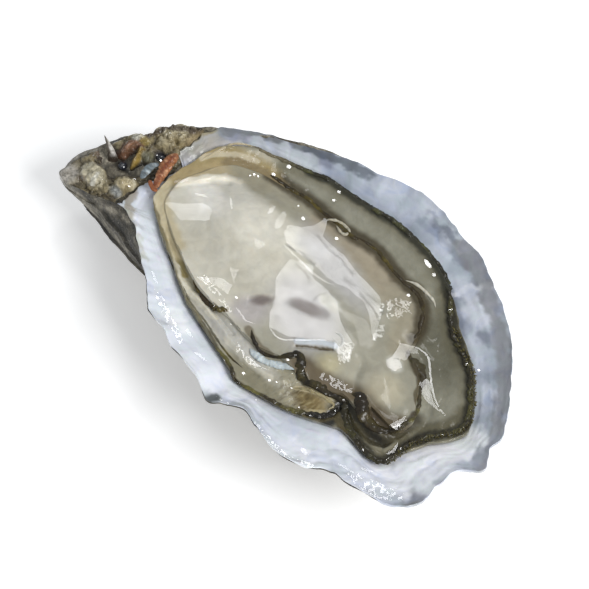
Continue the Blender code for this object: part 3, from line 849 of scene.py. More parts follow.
SKIRT_FOLDS = [
    ([(-34, -8.6), (-28, -12.2), (-24, -13.6), (-19, -15.6), (-13, -16.6), (-6, -17.0), (0, -17.8),
      (6, -18.3)], 0.55, 0.4),
    ([(-24, -12.4), (-18, -14.5), (-13, -15.6), (-6, -16.0), (0, -16.6)], 0.4, -0.35),
    ([(-12, -17.9), (-5, -18.3), (0, -19.2), (5, -19.6), (10, -19.0)], 0.5, -0.3),
    ([(26.0, -10.8), (28.5, -12.0), (32, -12.2), (35, -11.2)], 0.9, -0.5),
    ([(27, -11.8), (30, -13.3), (34, -13.5), (36.6, -12), (37, -9), (36.9, -6)], 0.5, 0.35),
    ([(24.4, -11.5), (24.9, -14), (24.1, -15.9), (22, -17.4)], 0.6, -0.6),
    ([(21, 4.4), (24, 6.6), (27.5, 5.6), (31, 2.8), (34.5, 0.6), (37, -2), (37.5, -6)], 1.2, -0.3),
]
SKIRT_HILLS = [(20.6, -14.6, 3.0, 2.0, 1.0), (12.5, -17.2, 5.0, 2.0, 0.4), (38.5, 1.0, 2.4, 3.0, 0.35)]
mantle_rings = [under_flesh(mantle_angles, share) for share in (0.95, 0.75, 0.5, 0.3, 0.15, 0.05, 0.0)]
frill = 0.18 * uneven(*plan(mantle_angles, mantle_line[0]), 1.6, 3, 101.0)
for turn in (-60.0, -30.0, 0.0, 30.0, 60.0):
    out = 0.2 * math.cos(math.radians(turn)) + frill
    x, y = plan(mantle_angles, mantle_line[0] + out)
    z = mantle_line[1] - 0.3 + 0.3 * math.sin(math.radians(turn))
    mantle_rings.append(at_level(x, y, z))
for ring in range(SKIRT_RINGS):
    share = 0.004 + ring / (SKIRT_RINGS - 1)
    x, y = plan(mantle_angles, blend(mantle_line[0], fold_line[0] - 1.2, share))
    far = eased((y - 1.0) / 8.0)
    step = blend(NEAR_STEP, FAR_STEP, far) * blend(0.15, 1.0, eased((x + 32.0) / 18.0))
    z = blend(mantle_line[1], fold_line[1] - step, share)
    sag = blend(NEAR_SAG, FAR_SAG, far) * blend(0.1, 1.0, eased((x + 32.0) / 18.0))
    z = z - sag * math.sin(math.pi * min(share, 1.0)) ** 0.8
    ripple = 0.15 * uneven(x, y, 3.0, 3, 103.0) + 0.05 * uneven(x, y, 1.0, 2, 107.0)
    z = z + ripple * blend(1.0, 0.4, far) + relief(x, y, z, SKIRT_FOLDS, SKIRT_HILLS)
    mantle_rings.append(at_level(x, y, z))
for reach, height in ((fold_line[0] - 3.0, 15.5), (fold_line[0] * 0.3, 12.0)):
    mantle_rings.append(at_level(*plan(mantle_angles, reach), height))
mantle, mantle_points = outline_of_rings(np.array(mantle_rings), "mantle_skirt")

FAR_EDGE = [
    (-34.6, 4), (-34, 10.5), (-32.5, 12.7), (-30, 14), (-27, 15), (-25, 15.9), (-22, 17), (-19, 18.2),
    (-15, 19.9), (-10, 20.7), (-5, 21.6), (0, 22.7), (6, 23.0), (12, 22.4), (16, 21.3), (19, 19.5),
]
LIP_EDGE = [
    (19, 19.5), (22, 17), (25, 14.8), (28, 13.3), (31, 12.2), (34, 10.9), (37, 8.5), (39.2, 6.5),
    (41, 4.2), (42.1, 2.2), (41.8, 0.4), (41.1, -1.2), (40, -3.2), (39.1, -5.2), (38.5, -7.5),
    (38.4, -9.6), (38.4, -11.6), (38.4, -13.4), (37, -14.4), (33, -14.5), (29, -13.6), (26.5, -12.4),
    (25, -11), (24.5, -9.5),
]
INNER_EDGE = [
    (-23.5, 11.8), (-22, 12.2), (-18, 12.8), (-14, 13.7), (-10, 13.8), (-6.5, 14.2), (-3, 14.3), (0, 15.3),
    (3, 15.8), (6, 15.3), (10, 14.8), (14.5, 15), (17, 14.3), (19, 12.7), (20.5, 11), (21.7, 9.5), (22, 8),
]
mantle_paint = Paint(mantle_points, (142, 140, 125))
mantle_paint.lay(eased((-4.0 - mantle_paint.y) / 4.0), (160, 155, 136))
mottled = fractal(mantle_points, 5.0, 3, 109.0)
mantle_paint.lay(0.7 * mottled, (118, 115, 97))
mantle_paint.lay(-0.7 * mottled - 0.1, (152, 150, 136))
mantle_paint.marks([
    (27, 9.6, 9, 4.4, (86, 84, 68), 0.8, -35), (1, -17.3, 11, 2.0, (194, 192, 186), 0.85),
    # Pale lines along the fold edges: their own cream with a painted highlight on the edge.
    ([(0, -18.2), (6, -18.8), (12, -17.6)], 0.7, (206, 202, 188), 0.8),
    ([(-34, -8.6), (-28, -12.2), (-24, -13.6), (-13, -16.8), (-5, -17.0)], 0.8, (208, 203, 186), 0.85),
    ([(-33, -8.3), (-29, -10), (-24, -10.5)], 0.8, (205, 198, 176), 0.8),
    ([(-27, -11), (-20, -13.4), (-15.5, -15.1)], 0.7, (138, 126, 84), 0.9),
    (10.5, -20.0, 6.5, 1.8, (132, 127, 106), 0.85, 4),
    (20.4, -15.2, 3.6, 2.2, (122, 106, 68), 0.95, 10),
])
lobed = uneven(mantle_paint.x * 2.6, mantle_paint.y * 0.7, 1.0, 2, 111.0)
near_lobe = np.exp(-(((mantle_paint.x - 19) / 5.0) ** 2) - ((mantle_paint.y + 16.4) / 2.6) ** 2)
mantle_paint.lay(near_lobe * (1.6 * lobed + 0.1), (88, 74, 42))
mantle_paint.lay(near_lobe * (-1.8 * lobed - 0.2), (158, 146, 108))
mantle_paint.marks([
    ([(16.5, -15.4), (18, -13.8), (20, -12.8), (22, -12.3), (23.8, -12)], 0.6, (190, 178, 146), 0.8),
    ([(22, -16.6), (23.6, -14.8), (24.0, -12.8)], 0.6, (176, 164, 130), 0.7),
    # Painted shadow: the dark spot and strokes in the trough under the glossy fold and beside the lip
    # frill.
    (32, -12.0, 5.0, 1.8, (88, 80, 60), 0.9, -4),
    ([(27, -11.6), (30.6, -12.5), (33.6, -12.3), (36, -11)], 1.5, (42, 39, 30), 0.9, 0.8),
    ([(35.4, -3.6), (35.8, -5.4), (36.0, -7.4), (35.4, -9.6)], 1.6, (50, 44, 28), 0.85, 1.2),
    ([(28, -12.6), (30, -13.3), (34, -13.5), (36.6, -12), (37, -9)], 0.5, (150, 146, 128), 0.7),
    ([(26, -11.2), (30, -12.4), (34, -11.4)], 1.2, (28, 25, 18), 0.9, 0.9),
    ([(27.6, -7.0), (29.4, -8.2), (31.4, -8.7), (33.8, -8.4)], 1.2, (66, 55, 38), 0.95, 0.9),
    ([(40.2, 4.2), (40.6, 1.8), (40, -0.6), (38.4, -3.4)], 1.8, (88, 84, 66), 0.85, 0.9),
])
for path in (FAR_EDGE, LIP_EDGE):
    mantle_paint.stroke(path, 2.4, (98, 92, 68), 0.5, 0.9)
mantle_paint.marks([
    (FAR_EDGE[7:], 1.3, (44, 44, 34), 0.9, 0.9), (LIP_EDGE, 1.3, (46, 43, 30), 0.9, 0.8),
    ([(24.4, -10.8), (24.8, -13), (25.6, -15.2)], 1.9, (30, 29, 25), 0.95, 0.7),
    (INNER_EDGE, 1.8, (62, 53, 31), 0.9, 0.9), (-28.4, 12.9, 3.6, 1.6, (190, 184, 166), 0.8, 30),
    ([(-35.6, -2), (-35.4, 2), (-34, 6), (-31.6, 9), (-28, 10.6), (-24, 11.4)], 2.6, (160, 143, 101),
     0.9, 0.9),
    ([(-34.6, -3), (-33.2, 1), (-31.2, 5), (-29.4, 7.4)], 1.8, (172, 154, 114), 0.9, 0.9),
    ([(-31, 8.0), (-29.2, 9.6), (-25, 10.6), (-20, 11.6)], 1.5, (134, 119, 88), 0.9, 0.9),
    ([(-34.6, -5), (-31, -8.4), (-26, -10.4), (-20, -12.6)], 1.6, (196, 184, 152), 0.9, 0.9),
    ([(-35.2, 4.4), (-33.4, 8), (-31, 10.4), (-27.6, 12)], 0.6, (206, 196, 172), 0.7, 0.9),
])
NEAR_RIM = [
    (-34, -8.9), (-26, -12.2), (-20, -15), (-12, -18.2), (-5, -19.7), (0, -21), (5, -21.9), (8, -23),
    (11, -22.6), (14, -21.5), (18, -20.2), (22, -17.9), (24.6, -16), (25.6, -13.6), (29, -14.8),
]
mantle_paint.marks([
    (NEAR_RIM[:5], 0.5, (106, 98, 70), 0.85, 0.9), (NEAR_RIM[4:], 0.9, (78, 70, 46), 0.9, 0.7),
])
mantle_paint.put_on(mantle)


def flesh_finish(name, bump):
    """Wet flesh: light sinks a little into it, and its film of water shines."""
    finish = Finish(name, {
        "Roughness": 0.38, "Specular IOR Level": 0.2, "Coat Weight": 0.7, "Coat Roughness": 0.05,
        "Coat IOR": 1.33, "Subsurface Weight": 0.3, "Subsurface Radius": (0.002, 0.0015, 0.001),
    })
    cloudy = finish.grain(1.8, 3.0, 0.5, 0.4)
    dotted = finish.grain(0.4, 3.0, 0.6)
    tinted = finish.tinted(cloudy, 0.3, 0.7, (0.93, 0.93, 0.92), (1.06, 1.06, 1.05))
    spots = finish.between(dotted, 0.62, 0.76, 0.0, 0.18)
    darkened = finish.mixed(spots, tinted, colour(96, 86, 62))
    finish.surface(darkened, finish.bumps(cloudy + 0.4 * dotted, bump))
    return finish


mantle_finish = flesh_finish("mantle_flesh", 0.12)
finished(mantle, mantle_finish, "animal")

# The body: the plump cream part of the animal, swollen highest near the hinge, with gills and small lobes
# toward the lip.

BODY_LEVEL = 20.2
SWELLINGS = [
    (-18.0, 0.0, 13.0, 8.5, 2.9),
    (-1.0, -5.0, 10.0, 6.0, 1.4),
    (8.0, 3.0, 10.0, 6.5, 1.3),
    (17.0, -8.0, 4.0, 3.6, 1.0),
    (25.5, 0.0, 4.5, 3.6, 1.0),
    (29.5, -4.5, 4.5, 3.4, 1.3),
]
BODY_FOLDS = [
    ([(-33.5, -3.5), (-32, -0.5), (-30, 3), (-28.5, 5), (-26, 6.5)], 0.8, 0.35),
    ([(-31.5, -1.5), (-29.5, 2), (-27, 4.4)], 0.7, -0.3),
    ([(-9, 3.8), (-5, 4.7), (-2.5, 4.9)], 0.3, -0.25),
    ([(-3, 9), (0, 9.3), (4, 8.7)], 0.4, -0.2),
    ([(8, 6.8), (12, 6.6), (14.5, 5.6)], 0.3, -0.3),
    ([(12, 8.8), (14, 7)], 0.3, -0.3),
    ([(0.6, -4), (3, -2.2), (7, -1)], 1.2, -0.45),
    ([(9.5, -9.5), (11.5, -7.5), (14.3, -5)], 0.35, -0.5),
    ([(8.5, -8.7), (11.5, -5.4), (14, -4.0)], 0.45, 0.35),
    ([(-4, -9), (-1.5, -6)], 0.6, -0.3),
    ([(21.3, 5.3), (24, 5.2), (26, 4.6), (28, 3.9), (29.5, 3)], 0.6, -0.55),
    ([(30, 2.4), (31.5, 0.2), (33.5, -0.9)], 0.5, -0.4),
    ([(20, -3), (21.5, -6), (23.5, -7.6)], 1.1, -0.5),
]
BODY_HILLS = [(15.8, -7.6, 2.6, 2.3, 0.7), (6.2, 1.2, 2.6, 1.4, 0.3), (15.4, 9.0, 1.6, 3.0, 0.4)]
FOLD_STEEPNESS = 2.2
BODY_RINGS = 98
body_angles = fold_loop.even_angles(FLESH_AROUND)
body_line = fold_loop.at(body_angles)


def body_height(x, y):
    """The height of the body's top at plan points inside the fold."""
    angle, reach = squeezed(x, y)
    edge_reach, edge_height = fold_loop.at(angle)
    share = np.clip(1.0 - reach / edge_reach, 0.0, 1.0)
    level = BODY_LEVEL + swell(x, y, SWELLINGS)
    z = blend(edge_height, level, eased(FOLD_STEEPNESS * share))
    return z + relief(x, y, z, BODY_FOLDS, BODY_HILLS) * eased(share * 8.0)


body_rings = []
for share, drop in ((0.9, 6.0), (0.5, 5.0), (0.12, 3.4), (0.03, 2.4)):
    x, y = plan(body_angles, body_line[0] * (1.0 - share))
    body_rings.append(at_level(x, y, body_line[1] - drop))
for turn in (-75.0, -45.0, -15.0, 15.0, 45.0, 75.0):
    out = 0.5 * math.cos(math.radians(turn))
    x, y = plan(body_angles, body_line[0] - 0.5 + out)
    deep = blend(0.3, 0.6, eased((x + 30.0) / 14.0))
    body_rings.append(at_level(x, y, body_line[1] - deep + deep * math.sin(math.radians(turn))))
for ring in range(BODY_RINGS):
    share = 0.012 + 0.98 * (ring / (BODY_RINGS - 1)) ** 1.3
    x, y = plan(body_angles, body_line[0] * (1.0 - share))
    body_rings.append(at_level(x, y, body_height(x, y) + 0.1 * uneven(x, y, 4.0, 2, 113.0)))
body, body_points = outline_of_rings(np.array(body_rings), "body")

body_paint = Paint(body_points, (203, 199, 185))
cloudy = fractal(body_points, 7.0, 3, 127.0)
body_paint.lay(eased((body_paint.x + 8.0) / 16.0) * 0.95, (150, 147, 132))
body_paint.lay(eased((body_paint.x - 14.0) / 8.0) * 0.7, (142, 139, 124))
west = eased((4.0 - body_paint.x) / 12.0)
body_paint.lay(0.6 * cloudy * west, (188, 182, 165))
body_paint.lay(-0.6 * cloudy * west, (212, 209, 198))
body_paint.lay(-0.7 * cloudy * (1.0 - west), (170, 167, 152))
body_paint.marks([
    # Painted highlight: the three pale spots on the top of the dome near the hinge.
    (-20, 2.5, 8.5, 4.0, (216, 213, 203), 0.5, 8), (-27, -0.5, 4.4, 2.8, (240, 237, 229), 0.8),
    (-15.5, 0.4, 3.6, 2.4, (216, 212, 199), 0.7), (-5.6, 7.2, 3.4, 2.2, (176, 175, 173), 0.6),
    ([(-34.5, -7), (-34, -1), (-32, 3), (-30, 6), (-27, 8.6), (-22, 9.6)], 1.8, (172, 155, 118),
     0.85, 0.9),
    ([(-34, -7), (-28, -10), (-22, -12)], 1.8, (190, 178, 146), 0.85, 0.9),
    # Painted highlight along the ridge at the left of the dome.
    ([(-33.5, -3.5), (-32, -0.5), (-30, 3), (-28.5, 5), (-26, 6.5)], 1.0, (238, 232, 216), 0.85),
    ([(-28, 9.4), (-24, 9.8), (-20, 10.3), (-14, 11), (-8, 11.3)], 3.4, (150, 145, 126), 0.9, 0.9),
    ([(-8, 11.6), (0, 12.9), (6, 12.9), (13, 12.2)], 3.4, (158, 148, 128), 0.95, 0.8),
    ([(13, 12.5), (18, 10.5), (20.5, 7.5), (22, 5)], 3.0, (150, 143, 124), 0.9, 0.9),
    (1, 7.4, 11, 3.0, (182, 180, 180), 0.8, -8), (5, -3.6, 9, 5.6, (186, 183, 183), 0.8, -22),
    (-2, -11, 3.4, 3.0, (182, 176, 174), 0.9, 30), (-2.2, -7.8, 1.9, 1.2, (122, 112, 108), 0.9, 50),
    (4.2, -2.7, 3.4, 1.3, (132, 124, 121), 0.9, 22), (6.2, 1.3, 2.4, 1.2, (222, 220, 210), 0.9),
    (16, -7.4, 2.6, 2.2, (180, 172, 142), 0.9),
    # Painted shadow: a dark band below the raised brown lobe, along the hook frill.
    ([(12.6, -11.4), (15, -11.2), (17.5, -10.8), (21, -9.6), (23.6, -8.4)], 2.2, (96, 82, 60),
     0.85, 0.9),
    ([(25.6, -7.0), (29, -8.2), (32.5, -8.4), (34.0, -6.8)], 2.4, (84, 72, 50), 0.9, 0.9),
    (20.5, -2.6, 5.0, 4.4, (172, 168, 152), 0.55), (24, 1.6, 1.8, 1.2, (212, 209, 200), 0.8),
    (27, 4.6, 2.4, 1.3, (84, 76, 52), 0.9, -15), (27, -3.4, 3.6, 3.0, (184, 176, 154), 0.7),
    # Painted shade in the body's grooves, and a painted highlight in bluish white along the ridge beside
    # them.
    ([(9.5, -9.5), (11.5, -7.5), (14.3, -5)], 0.35, (86, 76, 56), 0.95),
    ([(8.8, -8.6), (11.8, -5.3), (14, -4.1)], 0.8, (196, 202, 208), 0.9),
    ([(-9, 3.8), (-5, 4.7), (-2.5, 4.9)], 0.35, (150, 146, 136), 0.8),
    ([(24, 5.2), (26, 4.6), (28, 3.9), (29.5, 3)], 0.9, (66, 58, 40), 0.95),
    ([(29.8, 2.4), (31.5, 0), (33.5, -1), (34.8, -2.5)], 0.6, (84, 76, 54), 0.9),
    ([(34.3, -2.5), (34.8, -4), (34.5, -6), (35, -8), (33.5, -9)], 0.8, (62, 54, 38), 0.9),
    (INNER_EDGE, 1.5, (62, 53, 31), 0.9, 0.9),
    ([(1, -13.8), (4, -14.6), (8, -14.4)], 0.9, (96, 84, 60), 0.7),
])
body_paint.put_on(body)
body_finish = flesh_finish("body_flesh", 0.06)
finished(body, body_finish, "animal")

# The edges of the flesh: thin dark frills, pale curls and rolled lobes that lie on the mantle and the body.

START_ABOVE = 9.0


class Ground:
    """The top of finished pieces, found along the lines of sight on which all places are given."""

    def __init__(self, pieces):
        verts, faces = [], []
        for piece in pieces:
            start = len(verts)
            verts += [vertex.co / MM for vertex in piece.data.vertices]
            faces += [[start + i for i in face.vertices] for face in piece.data.polygons]
        self.tree = BVHTree.FromPolygons(verts, faces)

    def under(self, path):
        """The points of the ground below places on the 20 mm level."""
        back = Vector((*LEAN, 1.0))
        above = Vector((0.0, 0.0, LEVEL)) + back * START_ABOVE
        found = [self.tree.ray_cast(Vector((x, y, 0.0)) + above, -back)[0] for x, y in path]
        return np.array([spot or (x, y, LEVEL) for spot, (x, y) in zip(found, path)])


ground = Ground([mantle, body, nacre, hinge, *drops])
# An edge is its name, its path of x, y and half width, its flatness, shade and ruffle.
EDGES = [
    ("far_edge", [
        (x, y, 0.25 + 0.35 * (i / 15.0)) for i, (x, y) in enumerate(FAR_EDGE)
    ], 0.4, (46, 44, 33), 0.22),
    ("lip_edge", [(x, y, 0.52) for x, y in LIP_EDGE], 0.35, (44, 40, 26), 0.42),
    ("inner_edge", [(x, y, 0.42) for x, y in INNER_EDGE], 0.3, (50, 41, 20), 0.25),
    ("near_edge", [
        (-26, -12.4, 0.1), (-24, -13.2, 0.14), (-20, -15.2, 0.15), (-16, -16.6, 0.15), (-12, -18.1, 0.18),
        (-10, -18.8, 0.22), (-5, -19.6, 0.24), (0, -20.7, 0.28), (5, -21.3, 0.36), (8, -22.6, 0.36),
        (11, -22, 0.32), (14, -21, 0.34), (18, -19.8, 0.4), (20.5, -18.4, 0.5), (22, -17.5, 0.6),
        (24, -15.9, 0.6), (24.9, -14, 0.65), (24.8, -12, 0.6),
    ], 0.6, (56, 50, 34), 0.35),
    ("near_second_edge", [
        (-14, -16.9, 0.1), (-10, -18.2, 0.2), (-5, -18.8, 0.2), (0, -19.8, 0.22), (4, -20.2, 0.2),
        (7, -20.0, 0.12),
    ], 0.6, (58, 50, 34), 0.3),
    ("cluster_frill", [
        (-14, -14.5, 0.2), (-12, -15.2, 0.4), (-9.5, -15.6, 0.45), (-7, -15.5, 0.55),
        (-5.4, -14.8, 0.75), (-4.4, -14.1, 0.5),
    ], 0.6, (54, 45, 28), 0.5),
    ("hook_frill", [
        (1.6, -13.4, 0.25), (3, -14.3, 0.35), (5, -14.9, 0.4), (7, -15, 0.42), (8.4, -14.2, 0.45),
        (9.6, -13, 0.5), (10.4, -11.6, 0.65), (10.8, -10.6, 0.75), (12.0, -10.4, 0.8),
        (13.2, -11.4, 0.95), (14.6, -12.6, 1.05), (16.4, -12.9, 0.95), (18.2, -12.2, 0.9),
        (20.5, -11.5, 0.85), (22.6, -10.9, 0.8), (24.2, -10.4, 0.8), (25.2, -11.2, 0.6),
    ], 0.35, (34, 28, 18), 0.15),
    ("glossy_fold", [
        (23.9, -8.6, 0.6), (25.0, -7.8, 1.0), (26.6, -8.5, 1.25), (28.2, -9.6, 1.2), (30.5, -10.2, 1.0),
        (33, -9.6, 0.8), (34.6, -7.8, 0.5), (34.7, -5.6, 0.3),
    ], 0.32, (38, 31, 20), 0.13),
    ("blue_ridge", [
        (4.6, -16.3, 0.5), (6.5, -16.4, 0.7), (8.5, -15.9, 0.75), (10.5, -14.8, 0.8), (12.0, -13.7, 0.75),
        (13.2, -13.0, 0.5),
    ], 0.5, (190, 199, 202), 0.22),
    ("olive_lobe_rim", [
        (16.3, -15.6, 0.2), (18, -14, 0.3), (20, -13.1, 0.32), (22, -12.7, 0.32), (23.6, -12.6, 0.3),
        (23.8, -14, 0.25),
    ], 0.9, (150, 140, 108), 0.3),
    ("far_curl", [
        (-8.6, 13.4, 0.3), (-7.4, 14.3, 0.32), (-5.6, 14.9, 0.32), (-3.9, 14.6, 0.32), (-3.7, 13.7, 0.3),
        (-4.8, 13.3, 0.28), (-6.4, 13.7, 0.25),
    ], 0.9, (186, 180, 162), 0.3),
    ("far_pale_edge", [
        (11.4, 15.4, 0.15), (13, 16.2, 0.25), (15, 16.5, 0.28), (18, 16.3, 0.25), (19.5, 15.6, 0.12),
    ], 0.8, (196, 192, 178), 0.25),
    ("gill_curl", [
        (11.6, -2.2, 0.15), (13, -1.8, 0.25), (14.2, -2.3, 0.25), (14.6, -3.4, 0.25), (13.4, -3.4, 0.2),
        (12.2, -3.2, 0.15),
    ], 0.8, (206, 205, 200), 0.3),
    ("lip_frill", [
        (24.6, 4.7, 0.35), (25.8, 4.6, 0.8), (27.4, 4.5, 1.0), (29.0, 3.9, 0.85), (30.4, 2.6, 0.6),
        (31.8, 0.8, 0.4), (33.4, -0.8, 0.4), (34.6, -2.6, 0.4), (34.9, -4.4, 0.4), (34.8, -6, 0.4),
        (35.0, -7.8, 0.4), (34.0, -9.0, 0.3),
    ], 0.4, (62, 56, 38), 0.25),
]
EDGE_POINTS_PER_MM = 10.0
LEVELLED = 8
level_taps = np.full(2 * LEVELLED + 1, 1.0 / (2 * LEVELLED + 1))
edges = []
for number, (name, path, flatness, shade, ruffle) in enumerate(EDGES):
    line = smooth_path(path, int(EDGE_POINTS_PER_MM * lengths(np.array(path)[:, :2])[-1]))
    spots = ground.under(line[:, :2])
    level = np.convolve(np.pad(spots[:, 2], LEVELLED, "edge"), level_taps, "valid")
    rise = level - LEVEL + 0.25 * flatness * line[:, 2]
    spots = at_level(line[:, 0] + LEAN[0] * rise, line[:, 1] + LEAN[1] * rise, rise + LEVEL)
    edge, edge_points = cord(name, spots, line[:, 2], flatness, 16, ruffle, 0.9, 131.0 + 7.0 * number)
    edge_paint = Paint(edge_points, shade)
    flecks = fractal(edge_points, 0.9, 3, 137.0)
    stains = fractal(edge_points, 3.2, 3, 143.0)
    dark = max(shade) < 100
    if dark:
        edge_paint.lay(1.3 * stains + 0.1, (shade[0] * 1.7 + 8.0, shade[1] * 1.8 + 8.0, shade[2] * 1.6))
    edge_paint.lay(0.7 * flecks - 0.05, tuple((0.6 if dark else 0.85) * c for c in shade))
    edge_paint.lay(-1.0 * flecks - 0.2, tuple(min(245.0, 1.15 * c + 10.0) for c in shade))
    if name == "far_edge":
        edge_paint.lay(eased((-18.0 - edge_paint.x) / 10.0), (112, 104, 82))
        # Paler tan at the far left end of the edge: its own tone with a painted highlight on the frill.
        edge_paint.lay(eased((-30.0 - edge_paint.x) / 2.5), (184, 172, 144))
    if name in ("near_edge", "near_second_edge"):
        edge_paint.lay(eased((3.0 - edge_paint.x) / 7.0) * 0.8, (118, 115, 100))
        edge_paint.lay(eased((edge_paint.x - 20.0) / 3.0), (31, 29, 24))
    edge_paint.put_on(edge)
    edges.append(edge)
    finished(edge, mantle_finish, "animal")

# The papillae: the short feelers on the outer edge of the mantle along the lip, olive and darker in tufts.


def left_of(line):
    """Steps of one millimetre to the left of a plan line, at each of its points."""
    ahead = np.gradient(line, axis=0)
    return np.stack([-ahead[:, 1], ahead[:, 0]], -1) / np.linalg.norm(ahead, axis=1)[:, None]


strip_line = smooth_path(LIP_EDGE[2:18], 620)
outward = left_of(strip_line)
strip_rows = []
for out, lift in ((0.2, 0.1), (0.8, 0.0), (0.8, -0.15), (0.2, -0.1)):
    strip_rows.append(ground.under(strip_line + outward * out) + lift * UP)
bed, _ = outline_of_rings(np.array(strip_rows).transpose(1, 0, 2), "papillae_bed")

FEELER_LENGTH = 4.0
feeler_rings = []
for height, radius in ((0.0, 0.8), (0.35, 1.0), (0.8, 0.55), (1.0, 0.12)):
    turn = circle(6)
    feeler_rings.append(at_level(radius * np.cos(turn), radius * np.sin(turn), height * FEELER_LENGTH))
feeler, _ = outline_of_rings(np.array(feeler_rings), "feeler")

papillae_finish = flesh_finish("papillae_flesh", 0.1)
grower = Nodes(bpy.data.node_groups.new("papillae", "GeometryNodeTree"))
for label, kind in (("Geometry", "Geometry"), ("Feeler", "Object"), ("Thickness", "Float"),
                    ("Density", "Float"), ("Seed", "Int"), ("Material", "Material")):
    grower.tree.interface.new_socket(label, in_out="INPUT", socket_type="NodeSocket" + kind)
grower.tree.interface.new_socket("Geometry", in_out="OUTPUT", socket_type="NodeSocketGeometry")
entry = grower.tree.nodes.new("NodeGroupInput")
given = {socket.name: Value(grower, socket) for socket in entry.outputs}
scattered = grower.tree.nodes.new("GeometryNodeDistributePointsOnFaces")
grower.feed(scattered, {"Mesh": given["Geometry"], "Density": given["Density"], "Seed": given["Seed"]})
shape = grower.node("GeometryNodeObjectInfo", None, {"Object": given["Feeler"]}, "Geometry")
lean = grower.node("FunctionNodeRandomValue", {"data_type": "FLOAT_VECTOR"}, {
    0: (-0.5, -0.5, -3.1), 1: (0.5, 0.5, 3.1), "Seed": given["Seed"],
})
turned = grower.node("FunctionNodeRotateRotation", {"rotation_space": "LOCAL"}, {
    0: Value(grower, scattered.outputs["Rotation"]), 1: lean,
})
length = grower.node("FunctionNodeRandomValue", {"data_type": "FLOAT"}, {
    2: 0.6, 3: 1.3, "Seed": given["Seed"],
}, 1)
standing = grower.node("GeometryNodeInstanceOnPoints", None, {
    "Points": Value(grower, scattered.outputs["Points"]), "Instance": shape, "Rotation": turned,
    "Scale": length * given["Thickness"],
})
solid = grower.node("GeometryNodeRealizeInstances", None, {0: standing})
grown = grower.node("GeometryNodeSetMaterial", None, {"Geometry": solid, "Material": given["Material"]})
grower.feed(grower.tree.nodes.new("NodeGroupOutput"), {0: grown})

modifier = bed.modifiers.new("papillae", "NODES")
modifier.node_group = grower.tree
inputs = [item for item in grower.tree.interface.items_tree if item.in_out == "INPUT"]
sockets = {item.name: item.identifier for item in inputs}
PAPILLAE_PER_M2 = 9.0e6
for label, value in (("Feeler", feeler), ("Thickness", 0.11), ("Density", PAPILLAE_PER_M2), ("Seed", 4),
                     ("Material", papillae_finish.material)):
    modifier[sockets[label]] = value
bpy.context.view_layer.update()
grown_bed = bed.evaluated_get(bpy.context.evaluated_depsgraph_get())
papillae = linked("papillae", bpy.data.meshes.new_from_object(grown_bed))
bed.modifiers.remove(modifier)
for helper in (bed, feeler):
    bpy.data.objects.remove(helper)
papillae.data.shade_smooth()
papillae_points = np.array([vertex.co / MM for vertex in papillae.data.vertices])
papillae_paint = Paint(papillae_points, (88, 82, 48))
tufts = fractal(papillae_points, 0.8, 2, 139.0)
papillae_paint.lay(1.6 * tufts - 0.1, (56, 48, 28))
papillae_paint.lay(-1.4 * tufts - 0.2, (122, 114, 76))
papillae_paint.put_on(papillae)
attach(papillae, "root")
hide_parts("animal")

# The liquor: the clear salt water that wets the animal. Where it stands level it shines as flat patches
# with sharp edges, and it holds small bubbles.

FILM_STEP, FILM_EDGE_STEP = 0.3, 0.22
FILM_DEPTH = 0.2
FILM_CLEARANCE = 0.04
LEVEL_LIE = (0.139, 0.0, 0.990)
liquor_finish = Finish("clear_liquor", {
    "Base Color": (1.0, 1.0, 1.0, 1.0), "Metallic": 1.0, "Roughness": 0.02,
})
liquor_finish.feed(liquor_finish.shader, {
    "Normal": liquor_finish.node("ShaderNodeAttribute", {"attribute_name": "lie"}, None, "Vector"),
    "Alpha": liquor_finish.node("ShaderNodeAttribute", {"attribute_name": "gleam"}, None, "Fac"),
})


def within(outline, x, y):
    """Whether plan points lie inside a closed outline."""
    odd = np.zeros(x.shape, bool)
    for (ax, ay), (bx, by) in zip(outline, np.roll(outline, -1, axis=0)):
        crosses = (ay > y) != (by > y)
        odd ^= crosses & (x < ax + (y - ay) / (by - ay + 1e-12) * (bx - ax))
    return odd


def ribbon(path, width):
    """The outline of a line that narrows to its ends."""
    line = smooth_path(path, max(8, 6 * len(path)))
    half = 0.5 * width * np.sqrt(np.sin(np.linspace(0.05, math.pi - 0.05, len(line))))[:, None]
    side = left_of(line) * half
    return np.concatenate([line + side, (line - side)[::-1]])


